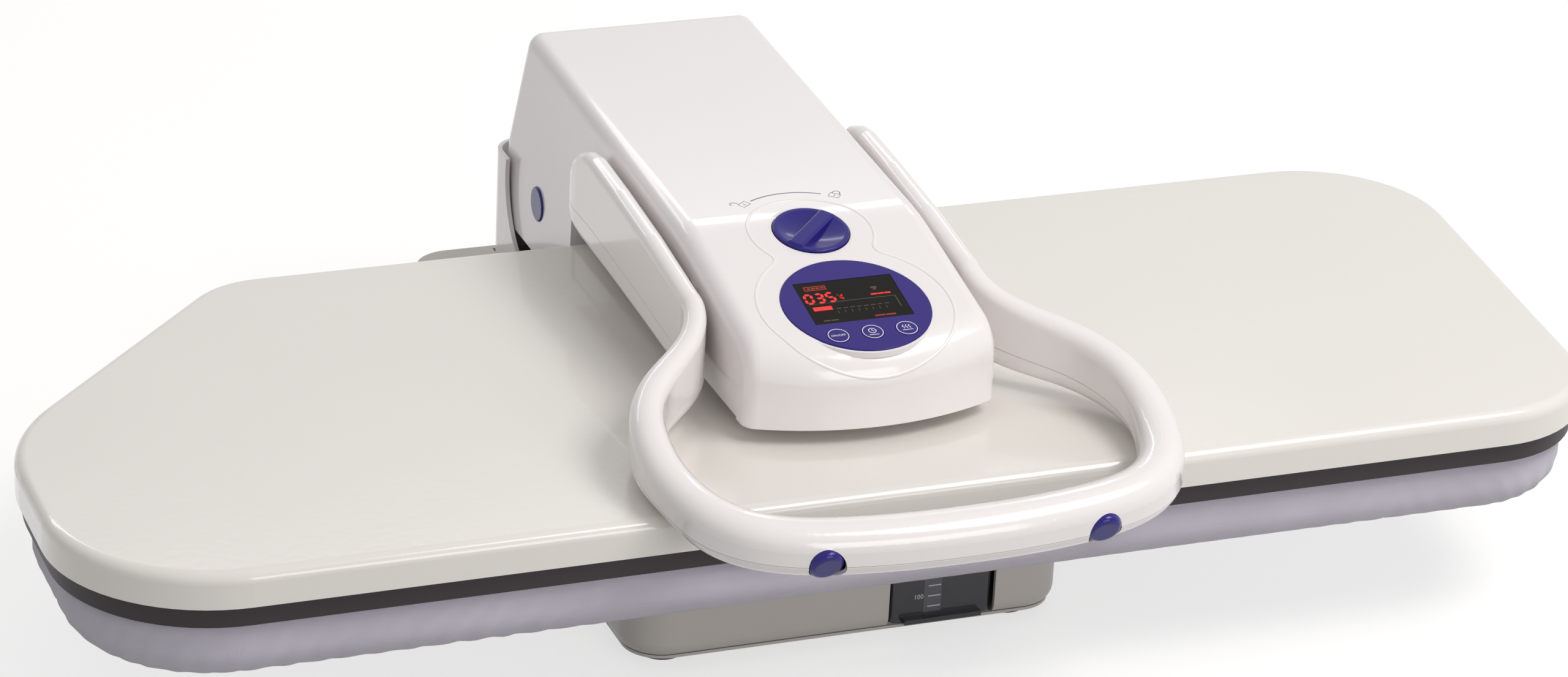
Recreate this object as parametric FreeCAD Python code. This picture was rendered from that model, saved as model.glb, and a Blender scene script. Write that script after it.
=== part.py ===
import FreeCAD, Part
import math
import os

V = FreeCAD.Vector

# Steam ironing press, closed, in millimetres. X to the right, Y to the back, Z up from the floor.
# The origin is on the floor, under the middle of the whole press.

# Platen: the outline that the heated lid, its plate and the ironing board share
half_length = 510.0
platen_front = -249.0
platen_rear = 152.0
end_slant = 6.6
taper_run = 182.0
taper_angle = 46.5
corner_taper = 60.0
corner_tip = 130.0
corner_front_left = 100.0
corner_front_right = 85.0
corner_rear_right = 88.0

# Heights
foot_stand = 8.0
base_top = 79.0
deck_gap = 1.5
deck_thick = 1.5
pad_top = 118.7
pad_gap = 0.3
plate_thick = 6.0
rim_thick = 8.5
lid_height = 22.5

# Lid
lid_wall = 2.5
lid_edge_radius = 7.0
rim_inset = 4.0
rim_width = 22.0
rim_skirt = 3.0
rim_gap = 0.1
rim_lip = 1.0
element_diameter = 8.0
element_inset = 90.0
element_bury = 3.0
sheet_inset = 34.0
sheet_thick = 1.0
lid_screw_end = 170.0
lid_screw_inner = 170.0
lid_screw_reach = 90.0

# Ironing board
board_inset = 9.0
board_bottom_radius = 22.0
board_top_radius = 9.0
cloth_thick = 1.5
cloth_gap = 0.2
hem_width = 30.0
deck_inset = 35.0
elastic_size = 3.0
deck_hole_radius = 5.0
deck_hole_pitch = 60.0

# Base housing
base_half_width = 146.0
base_front = -156.0
base_wall = 3.0
base_corner = 28.0
base_edge_radius = 10.0
floor_plate_thick = 2.0
foot_radius = 14.0
foot_inset_x = 30.0
foot_inset_y = 30.0

# Water tank in its bay
bay_width = 72.0
bay_side = 50.0
bay_height = 47.0
tank_clear = 1.5
tank_length = 165.0
tank_wall = 2.5
tank_recess = 2.0
rail_height = 2.0
rail_width = 8.0

# Hinge at the back
hinge_y = 234.0
hinge_z = 149.0
pin_radius = 8.0
run_clear = 0.05
bush_wall = 2.0
bracket_half = 50.0
bracket_thick = 4.0
bracket_round = 24.0
bracket_front = 208.0
elbow_radius = 78.0
column_back = 328.0
column_half_width = 88.0
column_wall = 3.0
cup_back = 326.0
column_top = 160.0
column_corner = 22.0
column_front = 161.0
cheek_arc = 56.0
skirt_top = 106.0

# Head: the cover of the swinging arm
head_half_top = 80.0
head_half_low = 84.0
head_wall = 3.0
head_edge = 11.0
head_under = 166.0
head_elbow_under = 112.0
head_elbow_front = 165.0
head_lean = 20.8
head_crown_radius = 200.0
head_back_round = 13.0
head_rear_top_z = 259.0
head_knee_y = -40.0
head_knee_z = 243.0
head_brow_z = 212.4
nose_y = -183.0
nose_bow = 18.0
nose_radius = 26.0
nose_spare = 4.0
head_part_z = 186.0
seam_gap = 0.3

# Steel frame inside the head
frame_half = 60.0
frame_thick = 4.0
frame_round = 27.0
frame_top = 208.0
frame_back_top = 232.0
frame_front = -110.0
frame_low = 178.0
web_z = 200.0
web_thick = 3.0
tube_radius = 8.0
shoe_pivot_y = -49.0
shoe_pivot_z = 186.0
shoe_pin_radius = 4.0
lug_half = 34.0
lug_thick = 4.0
ear_gap = 0.5
ear_round = 11.0

# Knob and side bolts of the lock
knob_y = -52.0
knob_z = 240.6
knob_tilt = 10.5
knob_radius = 24.3
knob_clear = 0.7
knob_sink = 5.0
knob_rim = 1.2
knob_dish = 3.0
bar_angle = 43.0
bar_width = 11.0
bar_top = 2.6
shaft_radius = 5.0
rack_module = 1.0
pinion_teeth = 15
bolt_low = -29.0
bolt_height = 8.0
bolt_width = 9.0
bolt_clear = 0.3
bolt_tip_gap = 1.0
bolt_inner = 14.0
tooth_slack = 0.12
guide_half_x = 54.0
guide_wall = 3.0

# Display
display_y = -131.0
display_z = 223.9
display_tilt = 11.85
display_radius = 47.0
display_seat = 1.8
display_thick = 2.0
display_sink = 1.2
lcd_half_x = 32.3
lcd_low = -16.2
lcd_high = 26.6
key_radius = 7.0
key_row = -29.2
key_pitch = 22.4
key_clear = 0.25
key_travel = 0.8
key_stand = 1.1
key_flange = 1.3
key_flange_width = 1.5
key_recess = -2.6
board_drop = 6.4
board_thick = 1.6

# Pressing handle: for each station the place across, the place along, the lowest and the
# highest point of its section, and its thickness; from the right arm's end to the front middle.
# The first stations are the straight arm, up to and with the one at its front end.
arm_stations = 10
handle_stations = [
    (93.0, 127.0, 196.0, 213.0, 8.0),
    (93.0, 126.0, 193.0, 217.0, 10.0),
    (93.0, 123.0, 188.5, 225.0, 12.0),
    (93.0, 118.0, 185.0, 232.0, 13.4),
    (93.0, 110.0, 182.4, 238.0, 14.0),
    (93.0, 99.0, 181.2, 242.0, 14.0),
    (93.0, 86.0, 181.0, 243.5, 14.0),
    (93.0, 40.0, 179.5, 240.5, 14.0),
    (93.0, -20.0, 176.5, 235.0, 14.0),
    (93.0, -88.0, 172.5, 226.0, 14.0),
    (95.5, -107.0, 170.5, 221.0, 14.2),
    (106.0, -125.0, 168.0, 215.0, 15.2),
    (122.0, -141.0, 165.5, 210.0, 17.2),
    (138.0, -157.0, 163.0, 205.5, 19.0),
    (150.0, -177.0, 160.5, 201.0, 20.6),
    (156.5, -201.0, 159.5, 196.0, 22.4),
    (157.5, -227.0, 158.7, 189.5, 24.8),
    (153.0, -252.0, 155.7, 184.0, 27.0),
    (143.0, -276.0, 148.5, 180.0, 29.0),
    (124.5, -294.0, 144.5, 176.5, 30.4),
    (99.0, -303.5, 142.0, 174.0, 31.0),
    (68.0, -308.5, 140.7, 172.7, 31.0),
    (34.0, -311.2, 140.1, 172.1, 31.0),
    (0.0, -312.0, 140.0, 172.0, 31.0),
]
handle_arm_x = 93.0
handle_inner = 86.0
handle_pivot_y = 96.0
handle_pivot_z = 212.0
handle_pin_radius = 6.0
handle_part = 0.28
section_round = 0.46
shell_wall = 2.5
least_side = 0.4
core_radius = 3.5
core_end_y = 80.0
core_end_z = 211.0
rib_y = 48.0
rib_thick = 3.0
rib_clear = 0.4
cap_x = 88.0
cap_y = -305.3
cap_z = 157.5
cap_dip = 27.0
cap_radius = 11.0
cap_seat = 9.0
cap_face = 17.4
cap_round = 3.5
cap_clear = 0.2

# Caps on the head's sides at the hinge
pivot_cap_radius = 12.0
pivot_cap_stand = 1.6

# Mains inlet and the parts on the base floor
inlet_x = -70.0
inlet_z = 42.0
inlet_radius = 11.0
pump_x = -80.0
pump_y = 90.0
hose_radius = 4.0
hose_bore = 2.5
inlet_stem_x = -45.0
tray_opening = 52.0
fill_y = -110.0
fill_radius = 14.0
valve_radius = 5.0
spring_turns = 5
spring_radius = 15.5
spring_wire = 2.5
spring_inner = 12.0
spring_pitch = 5.4
spring_leg = 61.0

# Screws
screw_radius = 2.0
screw_head_radius = 4.0
screw_head_height = 2.5

# Values that follow from the ones above
plate_under = pad_top + pad_gap
rim_under = plate_under + plate_thick
lid_under = rim_under + rim_thick
lid_top = lid_under + lid_height
deck_under = base_top + deck_gap
deck_top = deck_under + deck_thick
pitch_radius = rack_module * pinion_teeth / 2.0
bay_right = base_half_width - bay_side
bay_left = bay_right - bay_width


def box(x0, x1, y0, y1, z0, z1):
    return Part.makeBox(x1 - x0, y1 - y0, z1 - z0, V(x0, y0, z0))


def rod(start, end, radius):
    line = end.sub(start)
    return Part.makeCylinder(radius, line.Length, start, line)


def upright(x, y, z0, z1, radius):
    return rod(V(x, y, z0), V(x, y, z1), radius)


def across(y, z, x0, x1, radius):
    return rod(V(x0, y, z), V(x1, y, z), radius)


def across_y(x, z, y0, y1, radius):
    return rod(V(x, y0, z), V(x, y1, z), radius)


def placed(shape, y, z, tilt):
    """A shape drawn flat round the origin, laid on the head's sloping top."""
    shape = shape.copy()
    shape.rotate(V(0, 0, 0), V(1, 0, 0), tilt)
    shape.translate(V(0, y, z))
    return shape


def fuse(shapes):
    whole = shapes[0].multiFuse(shapes[1:]) if len(shapes) > 1 else shapes[0]
    return whole.removeSplitter()


def both_sides(shape):
    mirrored = shape.mirror(V(0, 0, 0), V(1, 0, 0))
    return [shape, mirrored]


def rounded(points, radii):
    """Closed wire through the points, in their own plane, with each corner rounded."""
    edges = []
    tangents = []
    count = len(points)
    for i in range(count):
        before = points[i - 1].sub(points[i]).normalize()
        after = points[(i + 1) % count].sub(points[i]).normalize()
        if radii[i] == 0:
            tangents.append((points[i], None, points[i]))
            continue
        half = before.getAngle(after) / 2.0
        reach = radii[i] / math.tan(half)
        bisector = before.add(after).normalize()
        centre_far = radii[i] / math.sin(half)
        middle = points[i].add(bisector * (centre_far - radii[i]))
        tangents.append((points[i].add(before * reach), middle, points[i].add(after * reach)))
    for i in range(count):
        start, middle, end = tangents[i]
        if middle is not None:
            edges.append(Part.Arc(start, middle, end).toShape())
        following = tangents[(i + 1) % count][0]
        if end.distanceToPoint(following) > 1e-6:
            edges.append(Part.LineSegment(end, following).toShape())
    return Part.Wire(edges)


def yz_prism(points, radii, x0, x1):
    wire = rounded([V(x0, y, z) for y, z in points], radii)
    return Part.Face(wire).extrude(V(x1 - x0, 0, 0))


def edges_at_height(shape, z):
    found = []
    for edge in shape.Edges:
        if abs(edge.BoundBox.ZMin - z) < 1e-4 and abs(edge.BoundBox.ZMax - z) < 1e-4:
            found.append(edge)
    return found


def platen_wire(z, inset=0.0):
    """The platen's plan: tapered on the left, blunt on the right, as seen in the photograph."""
    slant = math.radians(end_slant)
    turn = math.radians(taper_angle)
    right = half_length - corner_rear_right * (1 - 1 / math.cos(slant) - math.tan(slant))
    depth = platen_rear - platen_front
    tip_y = platen_rear - taper_run * math.tan(turn)
    points = [
        V(taper_run - half_length, platen_rear, z),
        V(-half_length, tip_y, z),
        V(-half_length, platen_front, z),
        V(right - depth * math.tan(slant), platen_front, z),
        V(right, platen_rear, z),
    ]
    radii = [corner_taper, corner_tip, corner_front_left, corner_front_right, corner_rear_right]
    wire = rounded(points, radii)
    if inset:
        wire = wire.makeOffset2D(-inset)
    return wire


def platen_slab(z0, z1, inset=0.0):
    return Part.Face(platen_wire(z0, inset)).extrude(V(0, 0, z1 - z0))


def lid_block(inset, top):
    block = platen_slab(lid_under, top, inset)
    return block.makeFillet(lid_edge_radius - inset, edges_at_height(block, top))


def bracket_window(z0, z1, margin):
    """Space in the middle of the lid for the bracket that carries it."""
    half = tray_opening + margin
    return box(-half, half, shoe_pivot_y - 50 - margin, shoe_pivot_y + 50 + margin, z0, z1)


def lid_screw_places():
    places = []
    outer = half_length - lid_screw_end
    for x in (-outer, -lid_screw_inner, lid_screw_inner, outer):
        for y in (shoe_pivot_y - lid_screw_reach, shoe_pivot_y + lid_screw_reach):
            places.append((x, y))
    return places


def make_lid():
    shell = lid_block(0.0, lid_top).cut(lid_block(lid_wall, lid_top - lid_wall))
    shell = shell.cut(bracket_window(lid_top - 2 * lid_wall, lid_top + 1, 0.0))
    for x, y in lid_screw_places():
        post = upright(x, y, rim_under, lid_top - lid_wall / 2, 2.5 * screw_radius)
        hole = upright(x, y, rim_under - 1, lid_top - 2 * lid_wall, screw_radius)
        shell = shell.fuse(post).cut(hole)
    return shell


def element_path(z):
    """One open loop of the heating tube, with both ends near the middle of the plate."""
    corner = 50.0
    front = platen_front + element_inset
    back = platen_rear - element_inset
    right = half_length - element_inset
    left = -half_length + element_inset + corner
    gap = 60.0
    points = [
        V(-gap, back, z),
        V(left, back, z),
        V(left, front, z),
        V(right, front, z),
        V(right, back, z),
        V(gap, back, z),
    ]
    edges = []
    here = points[0]
    for i in range(1, len(points) - 1):
        before = points[i - 1].sub(points[i]).normalize()
        after = points[i + 1].sub(points[i]).normalize()
        start = points[i].add(before * corner)
        end = points[i].add(after * corner)
        middle = points[i].add(before.add(after) * (corner * (1 - math.sqrt(0.5))))
        edges.append(Part.LineSegment(here, start).toShape())
        edges.append(Part.Arc(start, middle, end).toShape())
        here = end
    edges.append(Part.LineSegment(here, points[-1]).toShape())
    return Part.Wire(edges)


def swept(wire, radius):
    first = wire.Edges[0]
    start = first.valueAt(first.FirstParameter)
    along = first.tangentAt(first.FirstParameter)
    ring = Part.Wire(Part.makeCircle(radius, start, along))
    return wire.makePipeShell([ring], True, False)


def make_element(extra=0.0):
    z = rim_under + element_diameter / 2 - element_bury
    return swept(element_path(z), element_diameter / 2 + extra)


def make_heat_plate():
    plate = platen_slab(plate_under, rim_under, rim_inset + rim_skirt + rim_gap)
    plate = plate.makeFillet(2.0, edges_at_height(plate, plate_under))
    plate = plate.cut(make_element(0.1))
    for x, y in lid_screw_places():
        plate = plate.cut(upright(x, y, plate_under + 2, rim_under + 1, screw_radius))
    holes = []
    for column in range(-5, 6):
        for row in (-1, 0, 1):
            x = column * 70.0 + 35.0
            y = shoe_pivot_y + row * 38.0
            holes.append(upright(x, y, plate_under - 1, rim_under + 1, 2.5))
    return plate.cut(Part.makeCompound(holes))


def make_rim():
    outer = platen_slab(plate_under + rim_lip, lid_under, rim_inset)
    inner = platen_slab(rim_under - 1, lid_under + 1, rim_inset + rim_width)
    room = platen_slab(plate_under, rim_under, rim_inset + rim_skirt)
    return outer.cut(inner).cut(room)


def make_insulation():
    z = rim_under + element_diameter - element_bury + 0.2
    sheet = platen_slab(z, z + sheet_thick, sheet_inset)
    sheet = sheet.cut(bracket_window(z - 1, z + sheet_thick + 1, 30.0))
    for x, y in lid_screw_places():
        sheet = sheet.cut(upright(x, y, z - 1, z + sheet_thick + 1, 2.5 * screw_radius + 1))
    return sheet


def make_shoe_bracket():
    foot = box(-lug_half, lug_half, shoe_pivot_y - 45, shoe_pivot_y + 45, rim_under, rim_under + 4)
    inner = lug_half - lug_thick - ear_gap - lug_thick
    parts = [foot]
    for side in (-1, 1):
        x0 = min(side * inner, side * (inner + lug_thick))
        ear = yz_prism(
            [(shoe_pivot_y - 26, rim_under + 2), (shoe_pivot_y + 26, rim_under + 2),
             (shoe_pivot_y + ear_round, shoe_pivot_z + ear_round),
             (shoe_pivot_y - ear_round, shoe_pivot_z + ear_round)],
            [0, 0, ear_round * 0.8, ear_round * 0.8], x0, x0 + lug_thick)
        parts.append(ear)
    bore = across(shoe_pivot_y, shoe_pivot_z, -lug_half, lug_half, shoe_pin_radius + run_clear)
    return fuse(parts).cut(bore)


def make_thermostat():
    body = upright(70, shoe_pivot_y + 30, rim_under, rim_under + 9, 9.0)
    tabs = box(55, 85, shoe_pivot_y + 28, shoe_pivot_y + 32, rim_under, rim_under + 1)
    return fuse([body, tabs])


def make_steam_inlet():
    """Nozzle on the plate that takes the water to the steam chamber."""
    stem = upright(inlet_stem_x, shoe_pivot_y, rim_under, rim_under + 19, 6.0)
    return stem.cut(upright(inlet_stem_x, shoe_pivot_y, rim_under + 2, rim_under + 20, hose_bore))


def make_lid_screws():
    screws = []
    for x, y in lid_screw_places():
        shank = upright(x, y, plate_under + 2.3, lid_top - 3 * lid_wall, screw_radius - 0.1)
        screws.append(shank)
    return Part.makeCompound(screws)


def board_block(inset, low, high, bottom_radius, top_radius):
    block = platen_slab(low, high, inset)
    block = block.makeFillet(bottom_radius, edges_at_height(block, low))
    return block.makeFillet(top_radius, edges_at_height(block, high))


def base_block(grow, z0, z1):
    """Plan of the base, from its front to the back of the column."""
    half = base_half_width + grow
    points = [
        V(-half, base_front - grow, z0), V(half, base_front - grow, z0),
        V(half, column_back + grow, z0), V(-half, column_back + grow, z0),
    ]
    corner = base_corner + grow
    wire = rounded(points, [corner] * 4)
    return Part.Face(wire).extrude(V(0, 0, z1 - z0))


def make_pad():
    """Foam of the ironing board, under the cloth."""
    skin = cloth_thick + cloth_gap
    foam = board_block(board_inset + skin, deck_top, pad_top - skin,
                       board_bottom_radius - skin - 2, board_top_radius - skin)
    return foam


def make_cover():
    """Cloth over the foam, drawn in under the deck by its elastic."""
    outer = board_block(board_inset, base_top, pad_top, board_bottom_radius, board_top_radius)
    inner = board_block(board_inset + cloth_thick, deck_under, pad_top - cloth_thick,
                        board_bottom_radius - cloth_thick, board_top_radius - cloth_thick)
    opening = platen_slab(base_top - 1, deck_under + 1, deck_inset + hem_width)
    cloth = outer.cut(inner).cut(opening)
    return cloth.cut(base_block(1.0, foot_stand, deck_under))


def make_elastic():
    inset = deck_inset + hem_width - elastic_size
    outer = platen_slab(base_top - elastic_size - 0.1, base_top - 0.1, inset)
    inner = platen_slab(base_top - elastic_size - 0.1, base_top - 0.1, inset + elastic_size)
    ring = outer.cut(inner)
    return ring.cut(base_block(1.0, foot_stand, deck_under))


def deck_bolt_places():
    places = []
    for x in (-base_half_width + 16, base_half_width - 16):
        for y in (base_front + 20, 60.0):
            places.append((x, y))
    return places


def make_deck():
    deck = platen_slab(deck_under, deck_top, deck_inset)
    holes = []
    for column in range(-6, 7):
        for row in range(-2, 3):
            x = column * deck_hole_pitch
            y = shoe_pivot_y + row * deck_hole_pitch
            holes.append(upright(x, y, deck_under - 1, deck_top + 1, deck_hole_radius))
    for x, y in deck_bolt_places():
        holes.append(upright(x, y, deck_under - 1, deck_top + 1, screw_radius + 0.2))
    return deck.cut(Part.makeCompound(holes))


def make_deck_bolts():
    bolts = []
    for x, y in deck_bolt_places():
        spacer = upright(x, y, base_top, deck_under, 7.0)
        shank = upright(x, y, base_top - 14, deck_top, screw_radius)
        bolts.append(fuse([spacer, shank]))
    return Part.makeCompound(bolts)


def bay(margin, front, z0, z1, length):
    return box(bay_left + margin, bay_right - margin, front, base_front + length, z0, z1)


def hinge_clearing(grow, z0, z1):
    """Space between the column's cheeks that the head's elbow swings through."""
    half = column_half_width - column_wall
    return box(-half - grow, half + grow, column_front + column_wall, cup_back - column_wall, z0, z1)


def foot_places():
    x = base_half_width - foot_inset_x
    return [(sx * x, y) for sx in (-1, 1) for y in (base_front + foot_inset_y, column_back - foot_inset_y)]


def make_base_housing():
    outer = base_block(0.0, foot_stand, base_top)
    outer = outer.makeFillet(base_edge_radius, edges_at_height(outer, foot_stand))
    inner = base_block(-base_wall, foot_stand - 1, base_top - base_wall)
    shell = outer.cut(inner)
    shell = shell.cut(bay(0.0, base_front - 5, foot_stand - 1, foot_stand + bay_height, 20.0))
    shell = shell.cut(hinge_clearing(0.0, base_top - 2 * base_wall, base_top + 1))
    for x, y in deck_bolt_places():
        post = upright(x, y, base_top - 18, base_top - base_wall / 2, 6.0)
        hole = upright(x, y, base_top - 19, base_top + 1, screw_radius)
        shell = shell.fuse(post).cut(hole)
    for x, y in foot_places():
        post = upright(x, y, foot_stand + floor_plate_thick + 0.1, base_top - base_wall / 2, 5.0)
        hole = upright(x, y, foot_stand, foot_stand + 22, screw_radius)
        shell = shell.fuse(post).cut(hole)
    port = across_y(inlet_x, inlet_z, column_back - 10, column_back + 5, inlet_radius)
    return shell.cut(port)


def make_base_plate():
    plate = base_block(-base_wall - 0.3, foot_stand, foot_stand + floor_plate_thick)
    for x, y in foot_places():
        plate = plate.cut(upright(x, y, foot_stand - 1, foot_stand + 5, screw_radius + 0.2))
    for x, y in bracket_bolt_places():
        plate = plate.cut(upright(x, y, foot_stand - 1, foot_stand + 5, 3.0))
    rails = []
    for x in (bay_left + tank_clear, bay_right - tank_clear - rail_width):
        z = foot_stand + floor_plate_thick
        rails.append(box(x, x + rail_width, base_front + 6, base_front + tank_length,
                         z - 0.5, z + rail_height))
    return fuse([plate] + rails)


def make_feet():
    feet = []
    for x, y in foot_places():
        foot = Part.makeCone(foot_radius, foot_radius + 1.5, foot_stand, V(x, y, 0), V(0, 0, 1))
        recess = upright(x, y, -1, screw_head_height + 1.5, screw_head_radius + 0.5)
        hole = upright(x, y, -1, foot_stand + 1, screw_radius + 0.2)
        feet.append(foot.cut(recess).cut(hole))
    return Part.makeCompound(feet)


def make_foot_screws():
    screws = []
    for x, y in foot_places():
        head = upright(x, y, 1.5, 1.5 + screw_head_height, screw_head_radius)
        shank = upright(x, y, 1.5, foot_stand + 20, screw_radius - 0.1)
        screws.append(fuse([head, shank]))
    return Part.makeCompound(screws)


def make_column():
    """Cup behind the head: two cheeks, a back wall and a skirt round the hinge."""
    half = column_half_width
    points = [
        V(-half, column_front, base_top), V(half, column_front, base_top),
        V(half, cup_back, base_top), V(-half, cup_back, base_top),
    ]
    outer = Part.Face(rounded(points, [4.0, 4.0, column_corner, column_corner])).extrude(
        V(0, 0, column_top - base_top))
    inset = column_wall
    points = [
        V(-half + inset, column_front + inset, base_top - 1),
        V(half - inset, column_front + inset, base_top - 1),
        V(half - inset, cup_back - inset, base_top - 1),
        V(-half + inset, cup_back - inset, base_top - 1),
    ]
    corner = column_corner - inset
    inner = Part.Face(rounded(points, [1.0, 1.0, corner, corner])).extrude(V(0, 0, column_top))
    shell = outer.cut(inner)
    sweep = across(hinge_y, hinge_z, -half - 5, half + 5, cheek_arc)
    front = box(-half - 5, half + 5, column_front - 5, hinge_y, skirt_top, column_top + 5)
    low_front = yz_prism([(column_front - 5, skirt_top), (hinge_y + 1, skirt_top),
                          (hinge_y + 1, hinge_z), (column_front - 5, hinge_z)],
                         [0, 0, 0, 0], -half - 5, half + 5)
    return shell.cut(sweep).cut(front).cut(low_front)


def make_hinge_bracket():
    """Steel yoke from the base floor up to the hinge pin."""
    floor = foot_stand + floor_plate_thick
    foot = box(-bracket_half, bracket_half, bracket_front - 40, bracket_front + 60, floor, floor + 4)
    top = hinge_z + bracket_round
    plate = yz_prism([(bracket_front, floor), (bracket_front + 2 * bracket_round, floor),
                      (hinge_y + bracket_round, top), (hinge_y - bracket_round, top)],
                     [0, 0, bracket_round * 0.98, bracket_round * 0.98],
                     bracket_half - bracket_thick, bracket_half)
    yoke = fuse([foot] + both_sides(plate))
    for x, y in bracket_bolt_places():
        yoke = yoke.cut(upright(x, y, floor - 1, floor + 5, 3.0))
    return yoke.cut(across(hinge_y, hinge_z, -bracket_half - 1, bracket_half + 1, pin_radius))


def make_hinge_pin():
    reach = head_half_low - head_wall - 2.0
    return across(hinge_y, hinge_z, -reach, reach, pin_radius)


def head_outline():
    """Side view of the head: nose, sloping top, leaning back wall and round elbow."""
    lean = math.radians(head_lean)
    radius = elbow_radius
    tangent = V(0, hinge_y + radius * math.cos(lean), hinge_z + radius * math.sin(lean))
    low = math.asin((hinge_z - head_elbow_under) / radius)
    mid = (lean - low) / 2
    elbow_mid = V(0, hinge_y + radius * math.cos(mid), hinge_z + radius * math.sin(mid))
    elbow_end = V(0, hinge_y + radius * math.cos(low), head_elbow_under)
    run = head_rear_top_z - tangent.z
    corner = V(0, tangent.y - run * math.tan(lean), head_rear_top_z)
    points = [
        elbow_end,
        V(0, head_elbow_front, head_elbow_under),
        V(0, head_elbow_front, head_under),
        V(0, nose_y - nose_spare, head_under),
        V(0, nose_y - nose_spare, head_brow_z),
        V(0, head_knee_y, head_knee_z),
        corner,
        tangent,
    ]
    sizes = [0, 0, 0, 0, 0, head_crown_radius, head_back_round, 0]
    return points, sizes, elbow_mid


def head_profile(inset):
    points, sizes, elbow_mid = head_outline()
    open_wire = rounded(points, sizes)
    edges = [e for e in open_wire.Edges]
    start, end = points[-1], points[0]
    kept = [e for e in edges if not joins(e, start, end)]
    kept.append(Part.Arc(start, elbow_mid, end).toShape())
    wire = Part.Wire(Part.__sortEdges__(kept))
    if inset:
        wire = wire.makeOffset2D(-inset)
    return wire


def joins(edge, a, b):
    ends = [v.Point for v in edge.Vertexes]
    near = [min(p.distanceToPoint(q) for p in ends) < 1e-6 for q in (a, b)]
    return all(near)


def head_block(inset):
    """The head as one solid: its side view, cut to its plan and to its sloping sides."""
    wide = head_half_low + 10
    body = Part.Face(head_profile(inset)).extrude(V(wide, 0, 0))
    body = body.fuse(Part.Face(head_profile(inset)).extrude(V(-wide, 0, 0))).removeSplitter()
    low = head_half_low - inset
    top = head_half_top - inset
    sides = Part.Face(Part.makePolygon([
        V(-low, nose_y - 20, head_elbow_under - 5), V(low, nose_y - 20, head_elbow_under - 5),
        V(top, nose_y - 20, head_rear_top_z + 5), V(-top, nose_y - 20, head_rear_top_z + 5),
        V(-low, nose_y - 20, head_elbow_under - 5)])).extrude(V(0, 600, 0))
    reach = head_half_low + 5
    front = nose_y + inset
    side = front + nose_bow * 1.25
    plan_edges = [
        Part.Arc(V(-reach, side, 0), V(0, front, 0), V(reach, side, 0)).toShape(),
        Part.LineSegment(V(reach, side, 0), V(reach, 500, 0)).toShape(),
        Part.LineSegment(V(reach, 500, 0), V(-reach, 500, 0)).toShape(),
        Part.LineSegment(V(-reach, 500, 0), V(-reach, side, 0)).toShape(),
    ]
    plan = Part.Face(Part.Wire(plan_edges)).extrude(V(0, 0, 600))
    block = body.common(sides).common(plan).Solids[0]
    block = block.makeFillet(nose_radius - inset, brow_edges(block))
    return block.makeFillet(head_edge - inset, shoulder_edges(block, inset))


def brow_edges(block):
    """The bowed edge where the head's sloping top meets its nose."""
    found = []
    for edge in block.Edges:
        bounds = edge.BoundBox
        if bounds.XMax - bounds.XMin > head_half_top and bounds.YMax < knob_y and bounds.ZMin > head_part_z:
            found.append(edge)
    return found


def shoulder_edges(block, inset):
    """Edges where the head's sides meet its top, its nose and its back."""
    found = []
    for edge in block.Edges:
        bounds = edge.BoundBox
        narrow = bounds.XMax - bounds.XMin < 10
        outside = min(abs(bounds.XMin), abs(bounds.XMax)) > head_half_top - inset - 3
        above = bounds.ZMin > head_under + inset - 1
        if narrow and outside and above and bounds.ZMax > head_part_z:
            found.append(edge)
    return found


def bolt_slot(side, x0, x1, grow):
    """Room for one lock bolt, lying flat in the lock's own frame."""
    near = pitch_radius + 1.25 * rack_module
    y0, y1 = near - grow, near + bolt_width + grow
    if side < 0:
        y0, y1 = -y1, -y0
        x0, x1 = -x1, -x0
    return box(x0, x1, y0, y1, bolt_low - grow, bolt_low + bolt_height + grow)


def on_knob(shape):
    return placed(shape, knob_y, knob_z, knob_tilt)


def on_display(shape):
    return placed(shape, display_y, display_z, display_tilt)


def head_screw_places():
    return [(sx * 70.0, y) for sx in (-1, 1) for y in (-120.0, 122.0)]


def make_head_top():
    inner = head_block(head_wall)
    lowered = inner.translated(V(0, 0, -2 * head_wall))
    shell = head_block(0.0).cut(inner).cut(lowered)
    seat = upright(0, 0, -head_wall - 1, -0.15, display_radius + display_seat)
    shell = shell.fuse(on_display(seat).cut(inner))
    side_low = head_part_z + seam_gap
    shell = shell.cut(box(-100, 100, -150, head_elbow_front - 2, head_elbow_under - 5, side_low))
    cup = upright(0, 0, -knob_sink - 2.5, -1.0, knob_radius + knob_clear + 2.5)
    shell = shell.fuse(on_knob(cup))
    roof = inner.translated(V(0, 0, 0.8))
    posts = []
    for x, y in head_screw_places():
        posts.append(upright(x, y, head_under + 2.5, head_rear_top_z, 5.0).common(roof))
    for x, y in display_post_places():
        posts.append(on_display(upright(x, y, -board_drop, -head_wall / 2, 3.0)))
    return shell.multiFuse(posts).cut(head_openings())


def display_post_places():
    return [(-38.0, 20.0), (38.0, 20.0), (-38.0, -16.0), (38.0, -16.0)]


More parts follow.
